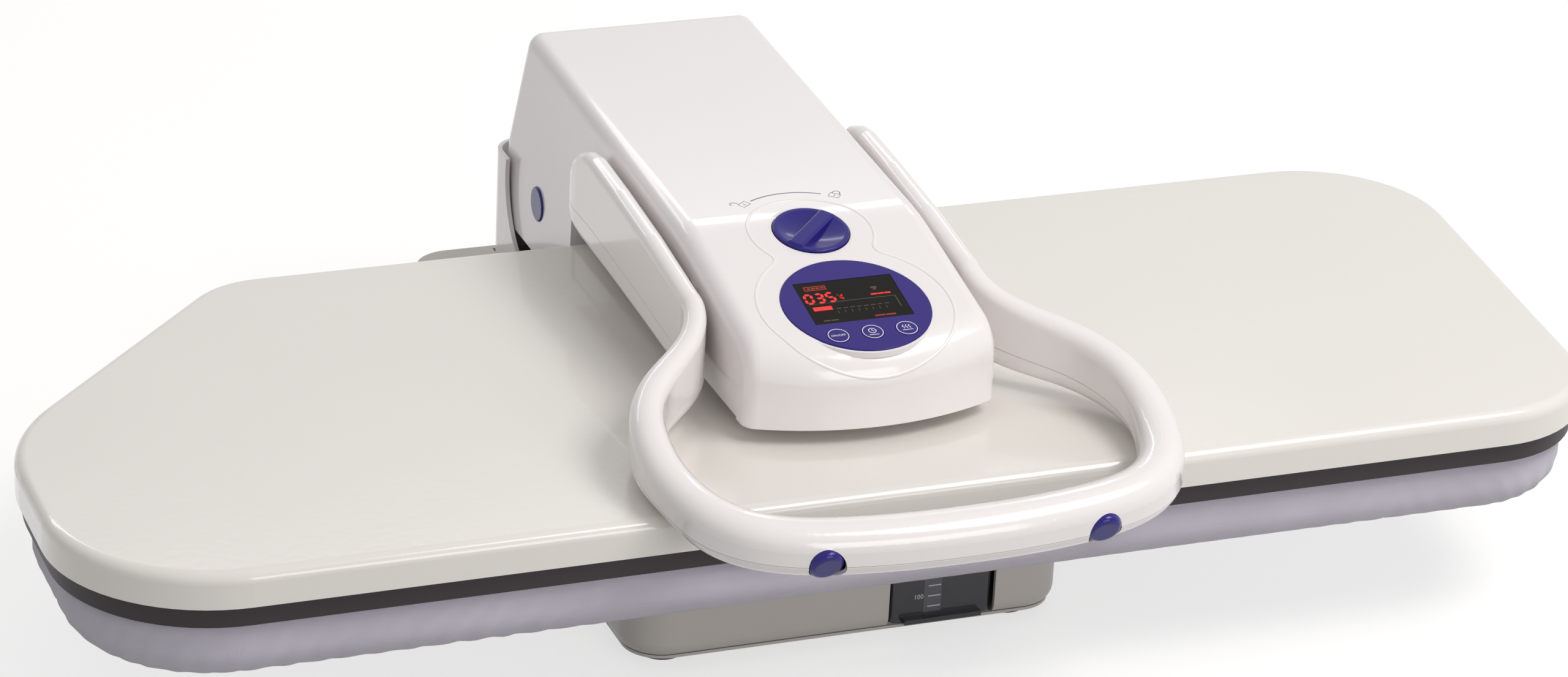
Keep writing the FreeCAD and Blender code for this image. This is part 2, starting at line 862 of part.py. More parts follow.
def head_openings():
    cuts = []
    for x, y in head_screw_places():
        cuts.append(upright(x, y, head_under, head_under + 22, screw_radius))
    cuts.append(on_knob(upright(0, 0, -knob_sink, 20, knob_radius + knob_clear)))
    cuts.append(on_knob(upright(0, 0, -knob_sink - 5, 5, shaft_radius + 0.3)))
    cuts.append(on_display(upright(0, 0, -display_sink, 20, display_radius + 0.2)))
    cuts.append(on_display(lcd_block(-12, 5, 0.2)))
    for x in key_places():
        cuts.append(on_display(upright(x, key_row, -12, 5, key_radius + key_clear)))
        room = key_radius + key_flange_width + key_clear
        cuts.append(on_display(upright(x, key_row, -12, key_recess, room)))
    for side in (-1, 1):
        cuts.append(on_knob(bolt_slot(side, 65, 95, 2 * bolt_clear)))
    cuts.append(across(handle_pivot_y, handle_pivot_z, -100, 100, handle_pin_radius + 0.5))
    cuts.append(across(hinge_y, hinge_z, -100, 100, pivot_cap_radius + 0.1))
    return Part.makeCompound(cuts)


def make_head_bottom():
    """Tray that closes the head from below and carries the steel frame on two pairs of ribs."""
    high = head_part_z
    region = box(-100, 100, -150, head_elbow_front - 2, head_under, high)
    tray = head_block(1.2).translated(V(0, 0, -1.2)).common(region)
    room = box(-100, 100, -150, head_elbow_front - 4.5, head_under + 2.5, high + 5)
    hollow = head_block(1.2 + 2.5).common(room)
    tray = tray.cut(hollow)
    lip = head_block(head_wall + 0.4).translated(V(0, 0, -head_wall - 0.4))
    lip = lip.common(box(-100, 100, nose_y - 5, -149, head_under, head_under + 2.5))
    ribs = []
    for side in (-1, 1):
        for y in (-95.0, 60.0):
            middle = side * (frame_half - frame_thick / 2)
            ribs.append(box(middle - 4, middle + 4, y, y + 12, head_under + 1, frame_low))
    tray = fuse([tray, lip] + ribs)
    opening = box(-tray_opening, tray_opening, shoe_pivot_y - 27, shoe_pivot_y + 27, 150, head_part_z - 5)
    passage = box(-frame_half - 6, frame_half + 6, head_elbow_front - 8, head_elbow_front,
                  frame_low - 2, high + 5)
    tray = tray.cut(opening).cut(passage)
    for x, y in head_screw_places():
        tray = tray.cut(upright(x, y, head_under - 1, head_under + 5, screw_radius + 0.2))
        tray = tray.cut(upright(x, y, head_under - 1, head_under + 1, screw_head_radius + 0.2))
    return tray


def make_head_screws():
    screws = []
    for x, y in head_screw_places():
        head = upright(x, y, head_under + 1 - screw_head_height, head_under + 1, screw_head_radius)
        shank = upright(x, y, head_under, head_under + 20, screw_radius - 0.1)
        screws.append(fuse([head, shank]))
    return Part.makeCompound(screws)


def make_frame():
    """Welded steel frame of the arm: two side plates, a web, cross tubes and the shoe's lugs."""
    plate = yz_prism([(frame_front, frame_low), (175, frame_low), (hinge_y - 20, hinge_z - 18),
                      (hinge_y + 14, hinge_z + 23), (100, frame_back_top), (20, frame_top),
                      (frame_front, frame_top)], [8, 40, 0, 0, 20, 60, 8],
                     frame_half - frame_thick, frame_half)
    disc = across(hinge_y, hinge_z, frame_half - frame_thick, frame_half, frame_round)
    inside = frame_half - frame_thick + 0.5
    web = box(-inside, inside, frame_front, 100, web_z, web_z + web_thick)
    lug = yz_prism([(shoe_pivot_y - 18, web_z + 1), (shoe_pivot_y + 18, web_z + 1),
                    (shoe_pivot_y + ear_round, shoe_pivot_z - ear_round),
                    (shoe_pivot_y - ear_round, shoe_pivot_z - ear_round)],
                   [0, 0, ear_round * 0.8, ear_round * 0.8], lug_half - lug_thick, lug_half)
    tubes = [across(150, 205, -inside, inside, tube_radius), across(60, 212, -inside, inside, tube_radius)]
    frame = fuse(both_sides(fuse([plate, disc])) + both_sides(lug) + tubes + [web])
    frame = frame.cut(across(hinge_y, hinge_z, -70, 70, pin_radius + bush_wall))
    frame = frame.cut(across(shoe_pivot_y, shoe_pivot_z, -lug_half - 1, lug_half + 1, shoe_pin_radius))
    return frame.cut(across(handle_pivot_y, handle_pivot_z, -70, 70, handle_pin_radius))


def make_bushes():
    outer = across(hinge_y, hinge_z, bracket_half + 1, frame_half + 2, pin_radius + bush_wall)
    bush = outer.cut(across(hinge_y, hinge_z, bracket_half, frame_half + 3, pin_radius + run_clear))
    return Part.makeCompound(both_sides(bush))


def make_hinge_caps():
    cap = across(hinge_y, hinge_z, head_half_low - head_wall - 0.8, head_half_low - 1.3 + pivot_cap_stand,
                 pivot_cap_radius)
    outer = [e for e in cap.Edges if e.BoundBox.XMin > head_half_low - 1.3 + pivot_cap_stand - 1e-3]
    cap = cap.makeFillet(1.2, outer)
    return Part.makeCompound(both_sides(cap))


def make_shoe_pin():
    return across(shoe_pivot_y, shoe_pivot_z, -lug_half, lug_half, shoe_pin_radius)


def make_handle_pins():
    pin = across(handle_pivot_y, handle_pivot_z, frame_half - frame_thick, handle_arm_x + 4,
                 handle_pin_radius)
    return Part.makeCompound(both_sides(pin))


def make_arm_hose():
    """Steam line under the frame's web, from the back of the arm down to the nozzle of the plate."""
    z = web_z - hose_radius
    points = [V(inlet_stem_x, 140, z), V(inlet_stem_x, shoe_pivot_y, z), V(inlet_stem_x, shoe_pivot_y, 145)]
    return hose(points, 25.0)


def hose(points, bend):
    path = bent(points, bend)
    return swept(path, hose_radius).cut(swept(path, hose_bore))


def bent(points, bend):
    """Open path through the points with its corners rounded."""
    edges = []
    here = points[0]
    for i in range(1, len(points) - 1):
        before = points[i - 1].sub(points[i]).normalize()
        after = points[i + 1].sub(points[i]).normalize()
        half = before.getAngle(after) / 2.0
        reach = bend / math.tan(half)
        bisector = before.add(after).normalize()
        middle = points[i].add(bisector * (bend / math.sin(half) - bend))
        start = points[i].add(before * reach)
        end = points[i].add(after * reach)
        edges.append(Part.LineSegment(here, start).toShape())
        edges.append(Part.Arc(start, middle, end).toShape())
        here = end
    edges.append(Part.LineSegment(here, points[-1]).toShape())
    return Part.Wire(edges)


def lcd_block(z0, z1, grow=0.0):
    return box(-lcd_half_x - grow, lcd_half_x + grow, lcd_low - grow, lcd_high + grow, z0, z1)


def key_places():
    return [-key_pitch, 0.0, key_pitch]


def make_display_disc():
    disc = upright(0, 0, -display_sink, display_thick - display_sink, display_radius)
    disc = disc.makeFillet(0.6, edges_at_height(disc, display_thick - display_sink))
    disc = disc.cut(lcd_block(-5, 5, 0.1))
    for x in key_places():
        disc = disc.cut(upright(x, key_row, -5, 5, key_radius + key_clear))
    return on_display(disc)


def make_lcd():
    return on_display(lcd_block(-board_drop, display_thick - display_sink - 0.2))


def make_key(x):
    low = -head_wall - 0.2 - key_flange
    cap = upright(x, key_row, low, key_stand, key_radius)
    cap = cap.makeFillet(0.5, edges_at_height(cap, key_stand))
    flange = upright(x, key_row, low, low + key_flange, key_radius + key_flange_width)
    return on_display(fuse([cap, flange]))


def make_display_board():
    board = box(-42, 42, key_row - 8, lcd_high + 4, -board_drop - board_thick, -board_drop)
    switches = []
    high = -head_wall - 0.2 - key_flange - key_travel - 0.1
    for x in key_places():
        switches.append(upright(x, key_row, -board_drop - 0.5, high, 3.0))
    return on_display(fuse([board] + switches))


def make_knob():
    low = -knob_sink + 0.3
    body = upright(0, 0, low, knob_rim, knob_radius)
    body = body.makeFillet(1.0, edges_at_height(body, knob_rim))
    reach = knob_radius - 3.0
    ball = (reach * reach + knob_dish * knob_dish) / (2 * knob_dish)
    body = body.cut(Part.makeSphere(ball, V(0, 0, knob_rim - knob_dish + ball)))
    bar = box(-knob_radius, knob_radius, -bar_width / 2, bar_width / 2, low + 0.5, bar_top)
    bar = bar.common(upright(0, 0, low, bar_top, knob_radius - 1.0))
    bar = bar.makeFillet(2.0, edges_at_height(bar, bar_top))
    bar.rotate(V(0, 0, 0), V(0, 0, 1), bar_angle)
    knob = fuse([body, bar]).cut(upright(0, 0, low - 1, 1.0, shaft_radius))
    return on_knob(knob)


def tooth(half_root, half_tip, root, tip, z0, z1):
    """One straight-sided tooth that stands on the X axis, pointing along +Y."""
    wire = Part.makePolygon([V(-half_root, root, z0), V(half_root, root, z0), V(half_tip, tip, z0),
                             V(-half_tip, tip, z0), V(-half_root, root, z0)])
    return Part.Face(wire).extrude(V(0, 0, z1 - z0))


def make_shaft():
    """Knob shaft with the pinion that drives both bolts."""
    shaft = upright(0, 0, bolt_low - 2, 1.0, shaft_radius)
    z0, z1 = bolt_low + 0.1, bolt_low + bolt_height - 0.1
    root = pitch_radius - 1.25 * rack_module
    parts = [shaft, upright(0, 0, z0, z1, root)]
    half = math.pi * rack_module / 4 - tooth_slack
    for i in range(pinion_teeth):
        one = tooth(half + 0.35, half - 0.4, root - 0.5, pitch_radius + rack_module, z0, z1)
        one.rotate(V(0, 0, 0), V(0, 0, 1), i * 360.0 / pinion_teeth)
        parts.append(one)
    return on_knob(fuse(parts))


def make_bolt(side):
    """Lock bolt with its rack: driven out to the side into the handle's arm."""
    tip = handle_inner - bolt_tip_gap
    bar = bolt_slot(side, -bolt_inner, tip, 0.0)
    end = [e for e in bar.Edges if abs(e.CenterOfMass.x - side * tip) < 1e-3]
    bar = bar.makeChamfer(1.2, end)
    near = pitch_radius + 1.25 * rack_module
    half = math.pi * rack_module / 4 - tooth_slack
    step = math.pi * rack_module
    parts = [bar]
    shift = step / 2 if side > 0 else 0.0
    for i in range(-4, 4):
        one = tooth(half + 0.35, half - 0.4, -near - 0.5, -pitch_radius + rack_module,
                    bolt_low + 0.1, bolt_low + bolt_height - 0.1)
        one.translate(V(shift + i * step, 0, 0))
        if side > 0:
            one = one.mirror(V(0, 0, 0), V(0, 1, 0))
        parts.append(one)
    return on_knob(fuse(parts))


def make_guide():
    reach = pitch_radius + 1.25 * rack_module + bolt_width + bolt_clear + guide_wall
    block = box(-guide_half_x, guide_half_x, -reach, reach, bolt_low - 20, bolt_low + bolt_height + 3)
    block = block.cut(bolt_slot(1, -60, 60, bolt_clear)).cut(bolt_slot(-1, -60, 60, bolt_clear))
    room = reach - guide_wall
    block = block.cut(box(-28, 28, -room, room, bolt_low - bolt_clear, bolt_low + bolt_height + bolt_clear))
    block = block.cut(upright(0, 0, bolt_low - 2.2, bolt_low + bolt_height + 5, shaft_radius + 0.1))
    block = on_knob(block)
    return block.cut(box(-100, 100, -200, 100, 100, web_z + web_thick))


def handle_line():
    """All stations, from the right arm's end round the loop to the left arm's end."""
    left = [(-x, y, low, high, thick) for x, y, low, high, thick in handle_stations[-2::-1]]
    return handle_stations + left


def heading(line, i):
    ahead = line[min(i + 1, len(line) - 1)]
    behind = line[max(i - 1, 0)]
    return V(ahead[0] - behind[0], ahead[1] - behind[1], 0).normalize()


def shell_section(line, i, upper):
    """Cut through one shell of the handle: a trough as thick as the wall, open at the parting line."""
    x, y, low, high, thick = line[i]
    along = heading(line, i)
    way = 1 if upper else -1
    sideways = V(-along.y, along.x, 0)
    far = high if upper else low
    part = low + handle_part * (high - low) + way * seam_gap / 2
    outer_wide = section_round * min(thick, high - low)
    outer_tall = min(outer_wide, abs(far - part) - least_side)
    inner_wide = max(outer_wide - shell_wall, least_side)
    inner_tall = max(outer_tall - shell_wall, least_side)
    edges = []
    ends = []
    for half, top, wide, tall in ((thick / 2, far, outer_wide, outer_tall),
                                  (thick / 2 - shell_wall, far - way * shell_wall, inner_wide, inner_tall)):
        side = top - way * tall
        bend = half - wide * (1 - math.sqrt(0.5))
        level = top - way * tall * (1 - math.sqrt(0.5))
        marks = [(half, part), (half, side), (bend, level), (half - wide, top),
                 (wide - half, top), (-bend, level), (-half, side), (-half, part)]
        spots = [V(x, y, z).add(sideways * w) for w, z in marks]
        edges.append(Part.LineSegment(spots[0], spots[1]).toShape())
        edges.append(Part.Arc(spots[1], spots[2], spots[3]).toShape())
        edges.append(Part.LineSegment(spots[3], spots[4]).toShape())
        edges.append(Part.Arc(spots[4], spots[5], spots[6]).toShape())
        edges.append(Part.LineSegment(spots[6], spots[7]).toShape())
        ends.append((spots[0], spots[7]))
    edges.append(Part.LineSegment(ends[0][0], ends[1][0]).toShape())
    edges.append(Part.LineSegment(ends[0][1], ends[1][1]).toShape())
    return Part.Wire(Part.__sortEdges__(edges))


def lofted(line, first, last, upper, ruled):
    sections = [shell_section(line, i, upper) for i in range(first, last + 1)]
    solid = Part.makeLoft(sections, True, ruled)
    if solid.Volume < 0:
        solid.reverse()
    return solid


def cap_frame(shape, side):
    """A shape drawn along +Z from the origin, turned to point out of the front of the tube."""
    shape = shape.copy()
    shape.rotate(V(0, 0, 0), V(1, 0, 0), 90.0 + cap_dip)
    shape.translate(V(side * cap_x, cap_y, cap_z))
    return shape


def make_handle_core():
    """Steel rod that runs round the loop inside both shells, and back into both arms."""
    line = handle_line()
    front = arm_stations - 1
    loop = []
    for i in range(front, len(line) - front):
        loop.append((V(line[i][0], line[i][1], core_height(i)), heading(line, i)))
    end = V(handle_arm_x, core_end_y, core_end_z)
    run = loop[0][0].sub(end)
    arm = [(end.add(run * (step / 4.0)), run.normalize()) for step in range(4)]
    mirrored = [(V(-p.x, p.y, p.z), V(along.x, -along.y, -along.z)) for p, along in reversed(arm)]
    rings = [Part.Wire(Part.makeCircle(core_radius, p, along)) for p, along in arm + loop + mirrored]
    core = Part.makeLoft(rings, True, True)
    for side in (-1, 1):
        core = core.cut(cap_frame(upright(0, 0, -core_radius - 1, core_radius + 1, screw_radius), side))
    return core


def core_height(i):
    low, high = handle_line()[i][2:4]
    return (low + high) / 2


def core_height_at_rib():
    """The rod rises steadily along the arm, so its height at the ribs lies between its two ends."""
    front = arm_stations - 1
    front_y = handle_stations[front][1]
    share = (rib_y + rib_thick / 2 - front_y) / (core_end_y - front_y)
    return core_height(front) + share * (core_end_z - core_height(front))


def shell_ribs(upper):
    """Ribs of the right arm: they hold the rod and close the arm's end; the upper one has the pivot boss."""
    far = handle_arm_x + 6
    near = handle_arm_x - 6
    rod_z = core_height_at_rib()
    if not upper:
        half = handle_stations[arm_stations - 1][4] / 2 - shell_wall - seam_gap
        return [box(handle_arm_x - half, handle_arm_x + half, rib_y, rib_y + rib_thick, 182.0,
                    rod_z - core_radius - rib_clear)]
    boss = across(handle_pivot_y, handle_pivot_z, near, far, handle_pin_radius + 3)
    rib = box(near, far, rib_y, rib_y + rib_thick, rod_z + core_radius + rib_clear, 238.0)
    end = box(handle_arm_x - 4, handle_arm_x + 4, 119.0, 124.0, 201.0, 223.0)
    return [boss, rib, end]


def arm_tools():
    """What is taken out of the arms: the pivot's blind bores and the sockets of the lock bolts."""
    tools = []
    for side in (-1, 1):
        tools.append(across(handle_pivot_y, handle_pivot_z, side * (handle_inner - 5),
                            side * (handle_arm_x + 4.1), handle_pin_radius + run_clear))
        tools.append(on_knob(bolt_slot(side, handle_inner - 2, handle_inner + 5, 2 * bolt_clear)))
    return Part.makeCompound(tools)


def make_shell(upper):
    """One shell of the handle: two straight arms and the loop between them."""
    line = handle_line()
    front = arm_stations - 1
    right = fuse([lofted(line, 0, front, upper, True)] + shell_ribs(upper))
    arms = [arm.cut(arm_tools()) for arm in both_sides(right)]
    loop = lofted(line, front, len(line) - 1 - front, upper, False)
    holes = [cap_frame(upright(0, 0, cap_seat, 30, cap_radius + cap_clear), side) for side in (-1, 1)]
    loop = loop.cut(Part.makeCompound(holes))
    return loop.fuse(arms[0]).fuse(arms[1])


def make_handle_caps():
    """Domed plugs that hide the two screws at the front of the loop."""
    caps = []
    for side in (-1, 1):
        cap = upright(0, 0, cap_seat, cap_face, cap_radius)
        rim = edges_at_height(cap, cap_face)
        caps.append(cap_frame(cap.makeFillet(cap_round, rim), side))
    return Part.makeCompound(caps)


def make_handle_screws():
    screws = []
    for side in (-1, 1):
        head = upright(0, 0, cap_seat - screw_head_height, cap_seat, screw_head_radius)
        shank = upright(0, 0, 0, cap_seat - 1, screw_radius)
        screws.append(cap_frame(fuse([head, shank]), side))
    return Part.makeCompound(screws)


def tank_block(inset, top):
    z0 = foot_stand + floor_plate_thick + rail_height + inset
    x0, x1 = bay_left + tank_clear + inset, bay_right - tank_clear - inset
    y0, y1 = base_front + tank_recess + inset, base_front + tank_length - inset
    block = box(x0, x1, y0, y1, z0, top)
    edges = [e for e in block.Edges if abs(e.BoundBox.ZMax - e.BoundBox.ZMin) > 5]
    return block.makeFillet(max(4.0 - inset, 1.0), edges)


def tank_top():
    return foot_stand + bay_height - 3.0


def make_tank():
    top = tank_top()
    tank = tank_block(0.0, top).cut(tank_block(tank_wall, top - tank_wall))
    x = (bay_left + bay_right) / 2
    tank = tank.cut(upright(x, fill_y, top - tank_wall - 1, top + 1, fill_radius))
    z = foot_stand + 14.0
    back = base_front + tank_length
    tank = tank.cut(across_y(x, z, back - tank_wall - 1, back + 1, valve_radius))
    tank = tank.cut(strip_block(0.0))
    lip_low = foot_stand + floor_plate_thick + rail_height
    y0 = base_front + tank_recess
    lip = box(x - 26, x + 26, y0 - 5.0, y0 + 1.0, lip_low, lip_low + 3.0)
    return fuse([tank, lip])


def strip_block(grow):
    """Scale strip let into the front face of the tank."""
    x = (bay_left + bay_right) / 2 - 6.0
    y = base_front + tank_recess
    z = foot_stand + 9.0
    return box(x - 6 - grow, x + 6 + grow, y - 1, y + 0.8, z, z + 30)


def make_level_strip():
    strip = strip_block(0.0)
    y = base_front + tank_recess
    return strip.common(box(0, 200, y - 0.2, y + 1, 0, 100))


def make_fill_cap():
    x = (bay_left + bay_right) / 2
    top = tank_top()
    plug = upright(x, fill_y, top - tank_wall - 3, top, fill_radius)
    rim = upright(x, fill_y, top, top + 1.8, fill_radius + 2)
    return fuse([plug, rim])


def make_tank_valve():
    x = (bay_left + bay_right) / 2
    z = foot_stand + 14.0
    back = base_front + tank_length
    valve = across_y(x, z, back - tank_wall - 3, back + 8, valve_radius)
    return valve.cut(across_y(x, z, back - tank_wall - 4, back + 9, 2.0))


def make_tank_dock():
    x = (bay_left + bay_right) / 2
    z = foot_stand + 14.0
    back = base_front + tank_length
    floor = foot_stand + floor_plate_thick
    block = box(x - 15, x + 15, back + 1, back + 21, floor, floor + 24)
    block = block.cut(across_y(x, z, back, back + 10, valve_radius + 0.4))
    nipple = across_y(x, z, back + 20, back + 30, hose_bore)
    return fuse([block, nipple]).cut(across_y(x, z, back + 9, back + 31, 1.2))


def make_pump():
    floor = foot_stand + floor_plate_thick
    z = floor + 20.0
    body = across_y(pump_x, z, pump_y - 28, pump_y + 28, 15.0)
    coil = box(pump_x - 17, pump_x + 17, pump_y - 14, pump_y + 14, floor, z + 17)
    nipples = across_y(pump_x, z, pump_y - 42, pump_y + 42, hose_bore)
    return fuse([body, coil, nipples])


def make_pump_hoses():
    """Suction hose from the dock to the pump, and the hose from the pump up into the column."""
    z = foot_stand + floor_plate_thick + 20.0
    x = (bay_left + bay_right) / 2
    back = base_front + tank_length
    dock_z = foot_stand + 14.0
    suction = hose([V(x, back + 22, dock_z), V(x, pump_y - 34, dock_z), V(x, pump_y - 34, z + 22),
                    V(pump_x, pump_y - 34 - 28, z + 22), V(pump_x, pump_y - 34 - 28, z),
                    V(pump_x, pump_y - 29, z)], 10.0)
    rise = hose([V(pump_x, pump_y + 29, z), V(pump_x, 185, z), V(pump_x, 185, 74)], 25.0)
    return Part.makeCompound([suction, rise])


def make_control_board():
    floor = foot_stand + floor_plate_thick
    right = base_half_width - 18
    board = box(right - 95, right, 60, 150, floor + 10, floor + 11.6)
    parts = [board]
    for x in (right - 89, right - 6):
        for y in (66, 144):
            parts.append(upright(x, y, floor, floor + 10.5, 3.0))
    parts.append(box(right - 80, right - 50, 80, 105, floor + 11, floor + 34))
    parts.append(box(right - 37, right - 11, 75, 90, floor + 11, floor + 27))
    parts.append(upright(right - 65, 130, floor + 11, floor + 36, 9.0))
    parts.append(box(right - 40, right - 8, 110, 138, floor + 11, floor + 19))
    return fuse(parts)


def make_mains_inlet():
    """Socket for the mains lead, flush with the back wall."""
    barrel = across_y(inlet_x, inlet_z, column_back - 26, column_back, inlet_radius)
    well = across_y(inlet_x, inlet_z, column_back - 16, column_back + 1, inlet_radius - 2.5)
    pins = [across_y(inlet_x + dx, inlet_z + dz, column_back - 17, column_back - 4, 1.5)
            for dx, dz in ((-4.0, -2.0), (4.0, -2.0), (0.0, 4.5))]
    return fuse([barrel.cut(well)] + pins)


def bracket_bolt_places():
    rows = (bracket_front - 30, bracket_front + 50)
    return [(sx * (bracket_half - 12), y) for sx in (-1, 1) for y in rows]


def make_bracket_bolts():
    floor = foot_stand + floor_plate_thick
    bolts = []
    for x, y in bracket_bolt_places():
        head = upright(x, y, floor + 4, floor + 8, 5.0)
        shank = upright(x, y, foot_stand, floor + 5, 3.0)
        bolts.append(fuse([head, shank]))
    return Part.makeCompound(bolts)


def make_spring(side):
    """One coil spring round the hinge pin, with a straight leg that stands on the bracket's foot."""
    height = spring_turns * spring_pitch
    helix = Part.makeHelix(spring_pitch, height, spring_radius)
    edge = helix.Edges[-1]
    end = edge.valueAt(edge.LastParameter)
    along = edge.tangentAt(edge.LastParameter)
    leg = Part.LineSegment(end, end.add(along * spring_leg)).toShape()
    path = Part.Wire(helix.Edges + [leg])
    first = helix.Edges[0]
    start = first.valueAt(first.FirstParameter)
    ring = Part.Wire(Part.makeCircle(spring_wire, start, first.tangentAt(first.FirstParameter)))
    coil = path.makePipeShell([ring], True, True)
    coil.rotate(V(0, 0, 0), V(0, 1, 0), 90.0)
    coil.rotate(V(0, 0, 0), V(1, 0, 0), 180.0)
    coil.translate(V(spring_inner, hinge_y, hinge_z))
    return coil if side > 0 else coil.mirror(V(0, 0, 0), V(1, 0, 0))


makers = {
    "base_housing": make_base_housing,
    "base_plate": make_base_plate,
    "rubber_feet": make_feet,
    "foot_screws": make_foot_screws,
    "column_cover": make_column,
    "hinge_bracket": make_hinge_bracket,
    "bracket_bolts": make_bracket_bolts,
    "hinge_pin": make_hinge_pin,
    "spring_left": lambda: make_spring(-1),
    "spring_right": lambda: make_spring(1),
    "deck_plate": make_deck,
    "deck_bolts": make_deck_bolts,
    "foam_pad": make_pad,
    "pad_cover": make_cover,
    "cover_elastic": make_elastic,
    "pump": make_pump,
    "pump_hoses": make_pump_hoses,
    "control_board": make_control_board,
    "mains_inlet": make_mains_inlet,
    "tank_dock": make_tank_dock,
    "water_tank": make_tank,
    "fill_cap": make_fill_cap,
    "level_strip": make_level_strip,
    "tank_valve": make_tank_valve,
    "lid_cover": make_lid,
    "plate_rim": make_rim,
    "heat_plate": make_heat_plate,
    "heating_element": make_element,
    "insulation_sheet": make_insulation,
    "thermostat": make_thermostat,
    "steam_inlet": make_steam_inlet,
    "shoe_bracket": make_shoe_bracket,
    "lid_screws": make_lid_screws,
    "head_top_cover": make_head_top,
    "head_bottom_cover": make_head_bottom,
    "head_screws": make_head_screws,
    "arm_frame": make_frame,
    "arm_bushes": make_bushes,
    "hinge_caps": make_hinge_caps,
    "shoe_pivot_pin": make_shoe_pin,
    "handle_pivot_pins": make_handle_pins,
    "arm_hose": make_arm_hose,
    "display_disc": make_display_disc,
    "lcd_panel": make_lcd,
    "display_board": make_display_board,
    "key_left": lambda: make_key(-key_pitch),
    "key_mid": lambda: make_key(0.0),
    "key_right": lambda: make_key(key_pitch),
    "lock_knob": make_knob,
    "lock_shaft": make_shaft,
    "lock_bolt_left": lambda: make_bolt(-1),
    "lock_bolt_right": lambda: make_bolt(1),
    "lock_guide": make_guide,
    "handle_upper_shell": lambda: make_shell(True),
    "handle_lower_shell": lambda: make_shell(False),
    "handle_core": make_handle_core,
    "handle_caps": make_handle_caps,
    "handle_screws": make_handle_screws,
}

os.makedirs("parts", exist_ok=True)
for name, maker in makers.items():
    maker().exportStep("parts/" + name + ".step")
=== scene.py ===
import math

import bmesh
import bpy
from mathutils import Matrix, Vector, noise
from mathutils.bvhtree import BVHTree


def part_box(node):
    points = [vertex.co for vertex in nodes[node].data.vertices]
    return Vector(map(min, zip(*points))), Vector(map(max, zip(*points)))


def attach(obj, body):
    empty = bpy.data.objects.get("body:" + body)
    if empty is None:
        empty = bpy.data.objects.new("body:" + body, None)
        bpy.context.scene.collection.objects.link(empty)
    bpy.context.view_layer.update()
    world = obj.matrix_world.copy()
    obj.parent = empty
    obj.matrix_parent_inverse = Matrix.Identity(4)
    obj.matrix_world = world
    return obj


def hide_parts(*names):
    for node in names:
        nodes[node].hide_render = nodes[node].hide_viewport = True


# A tabletop steam ironing press, closed. Lengths are in metres: X to the right, Y to the back, Z up.
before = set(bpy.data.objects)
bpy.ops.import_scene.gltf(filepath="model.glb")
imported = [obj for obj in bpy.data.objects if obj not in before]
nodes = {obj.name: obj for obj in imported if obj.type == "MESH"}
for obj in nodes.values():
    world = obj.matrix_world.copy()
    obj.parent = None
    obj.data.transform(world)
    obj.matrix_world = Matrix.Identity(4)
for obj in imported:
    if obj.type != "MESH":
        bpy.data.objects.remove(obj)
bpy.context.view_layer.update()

# The camera stands in front and to the left of the press, a little above it, and leans three
# degrees to one side, as the photographer's did.
camera_place = Vector((-1.0512, -2.6185, 1.4296))
camera_turn = math.radians(22.0)
camera_dip = math.radians(24.5)
camera_lean = math.radians(3.0)
camera_lens = 111.1

ahead = Vector((math.sin(camera_turn) * math.cos(camera_dip), math.cos(camera_turn) * math.cos(camera_dip),
                -math.sin(camera_dip)))
level = Vector((math.cos(camera_turn), -math.sin(camera_turn), 0.0))
rising = level.cross(ahead)
across_view = math.cos(camera_lean) * level + math.sin(camera_lean) * rising
up_view = math.cos(camera_lean) * rising - math.sin(camera_lean) * level
axes = Matrix((across_view, up_view, -ahead)).transposed()
camera = bpy.data.objects.new("camera", bpy.data.cameras.new("camera"))
camera.data.sensor_width = 36.0
camera.data.lens = camera_lens
camera.matrix_world = Matrix.Translation(camera_place) @ axes.to_4x4()
bpy.context.scene.collection.objects.link(camera)
bpy.context.scene.camera = camera
bpy.context.scene.view_settings.view_transform = "Standard"

# The room: a white studio. A large soft lamp hangs over the press to its right, a long strip lamp
# draws the bright lines along the edges, and a weak one fills the left side.
key_power = 32.0
strip_power = 3.0
fill_power = 10.0
room_light = 0.50


def soft_lamp(name, place, target, wide, high, power, colour):
    lamp = bpy.data.objects.new(name, bpy.data.lights.new(name, "AREA"))
    lamp.data.shape = "RECTANGLE"
    lamp.data.size = wide
    lamp.data.size_y = high
    lamp.data.energy = power
    lamp.data.color = colour
    lamp.matrix_world = Matrix.Translation(place)
    lamp.rotation_euler = (Vector(target) - Vector(place)).to_track_quat("-Z", "Y").to_euler()
    bpy.context.scene.collection.objects.link(lamp)
    return lamp


soft_lamp("key_lamp", (1.1, -1.0, 2.2), (0.0, -0.1, 0.1), 1.4, 1.0, key_power, (1.0, 0.985, 0.965))
soft_lamp("strip_lamp", (0.1, 1.6, 1.3), (0.0, -0.1, 0.1), 2.2, 0.12, strip_power, (1.0, 1.0, 1.0))
soft_lamp("fill_lamp", (0.5, -2.4, 0.8), (0.0, 0.0, 0.1), 1.2, 0.9, fill_power, (1.0, 0.99, 0.99))

world = bpy.data.worlds.new("studio")
bpy.context.scene.world = world
world.use_nodes = True
world_nodes = world.node_tree.nodes
world_links = world.node_tree.links
room = world_nodes["Background"]
room.inputs["Color"].default_value = (1.0, 0.995, 0.99, 1.0)
room.inputs["Strength"].default_value = room_light
white = world_nodes.new("ShaderNodeBackground")
white.inputs["Strength"].default_value = 1.0


def joined(tree, giver, output, taker, socket):
    """Links one node's output to another's input."""
    tree.links.new(giver.outputs[output], taker.inputs[socket])


def added(tree, kind, *settings):
    """A new node with its inputs set."""
    node = tree.nodes.new(kind)
    for socket, value in settings:
        node.inputs[socket].default_value = value
    return node


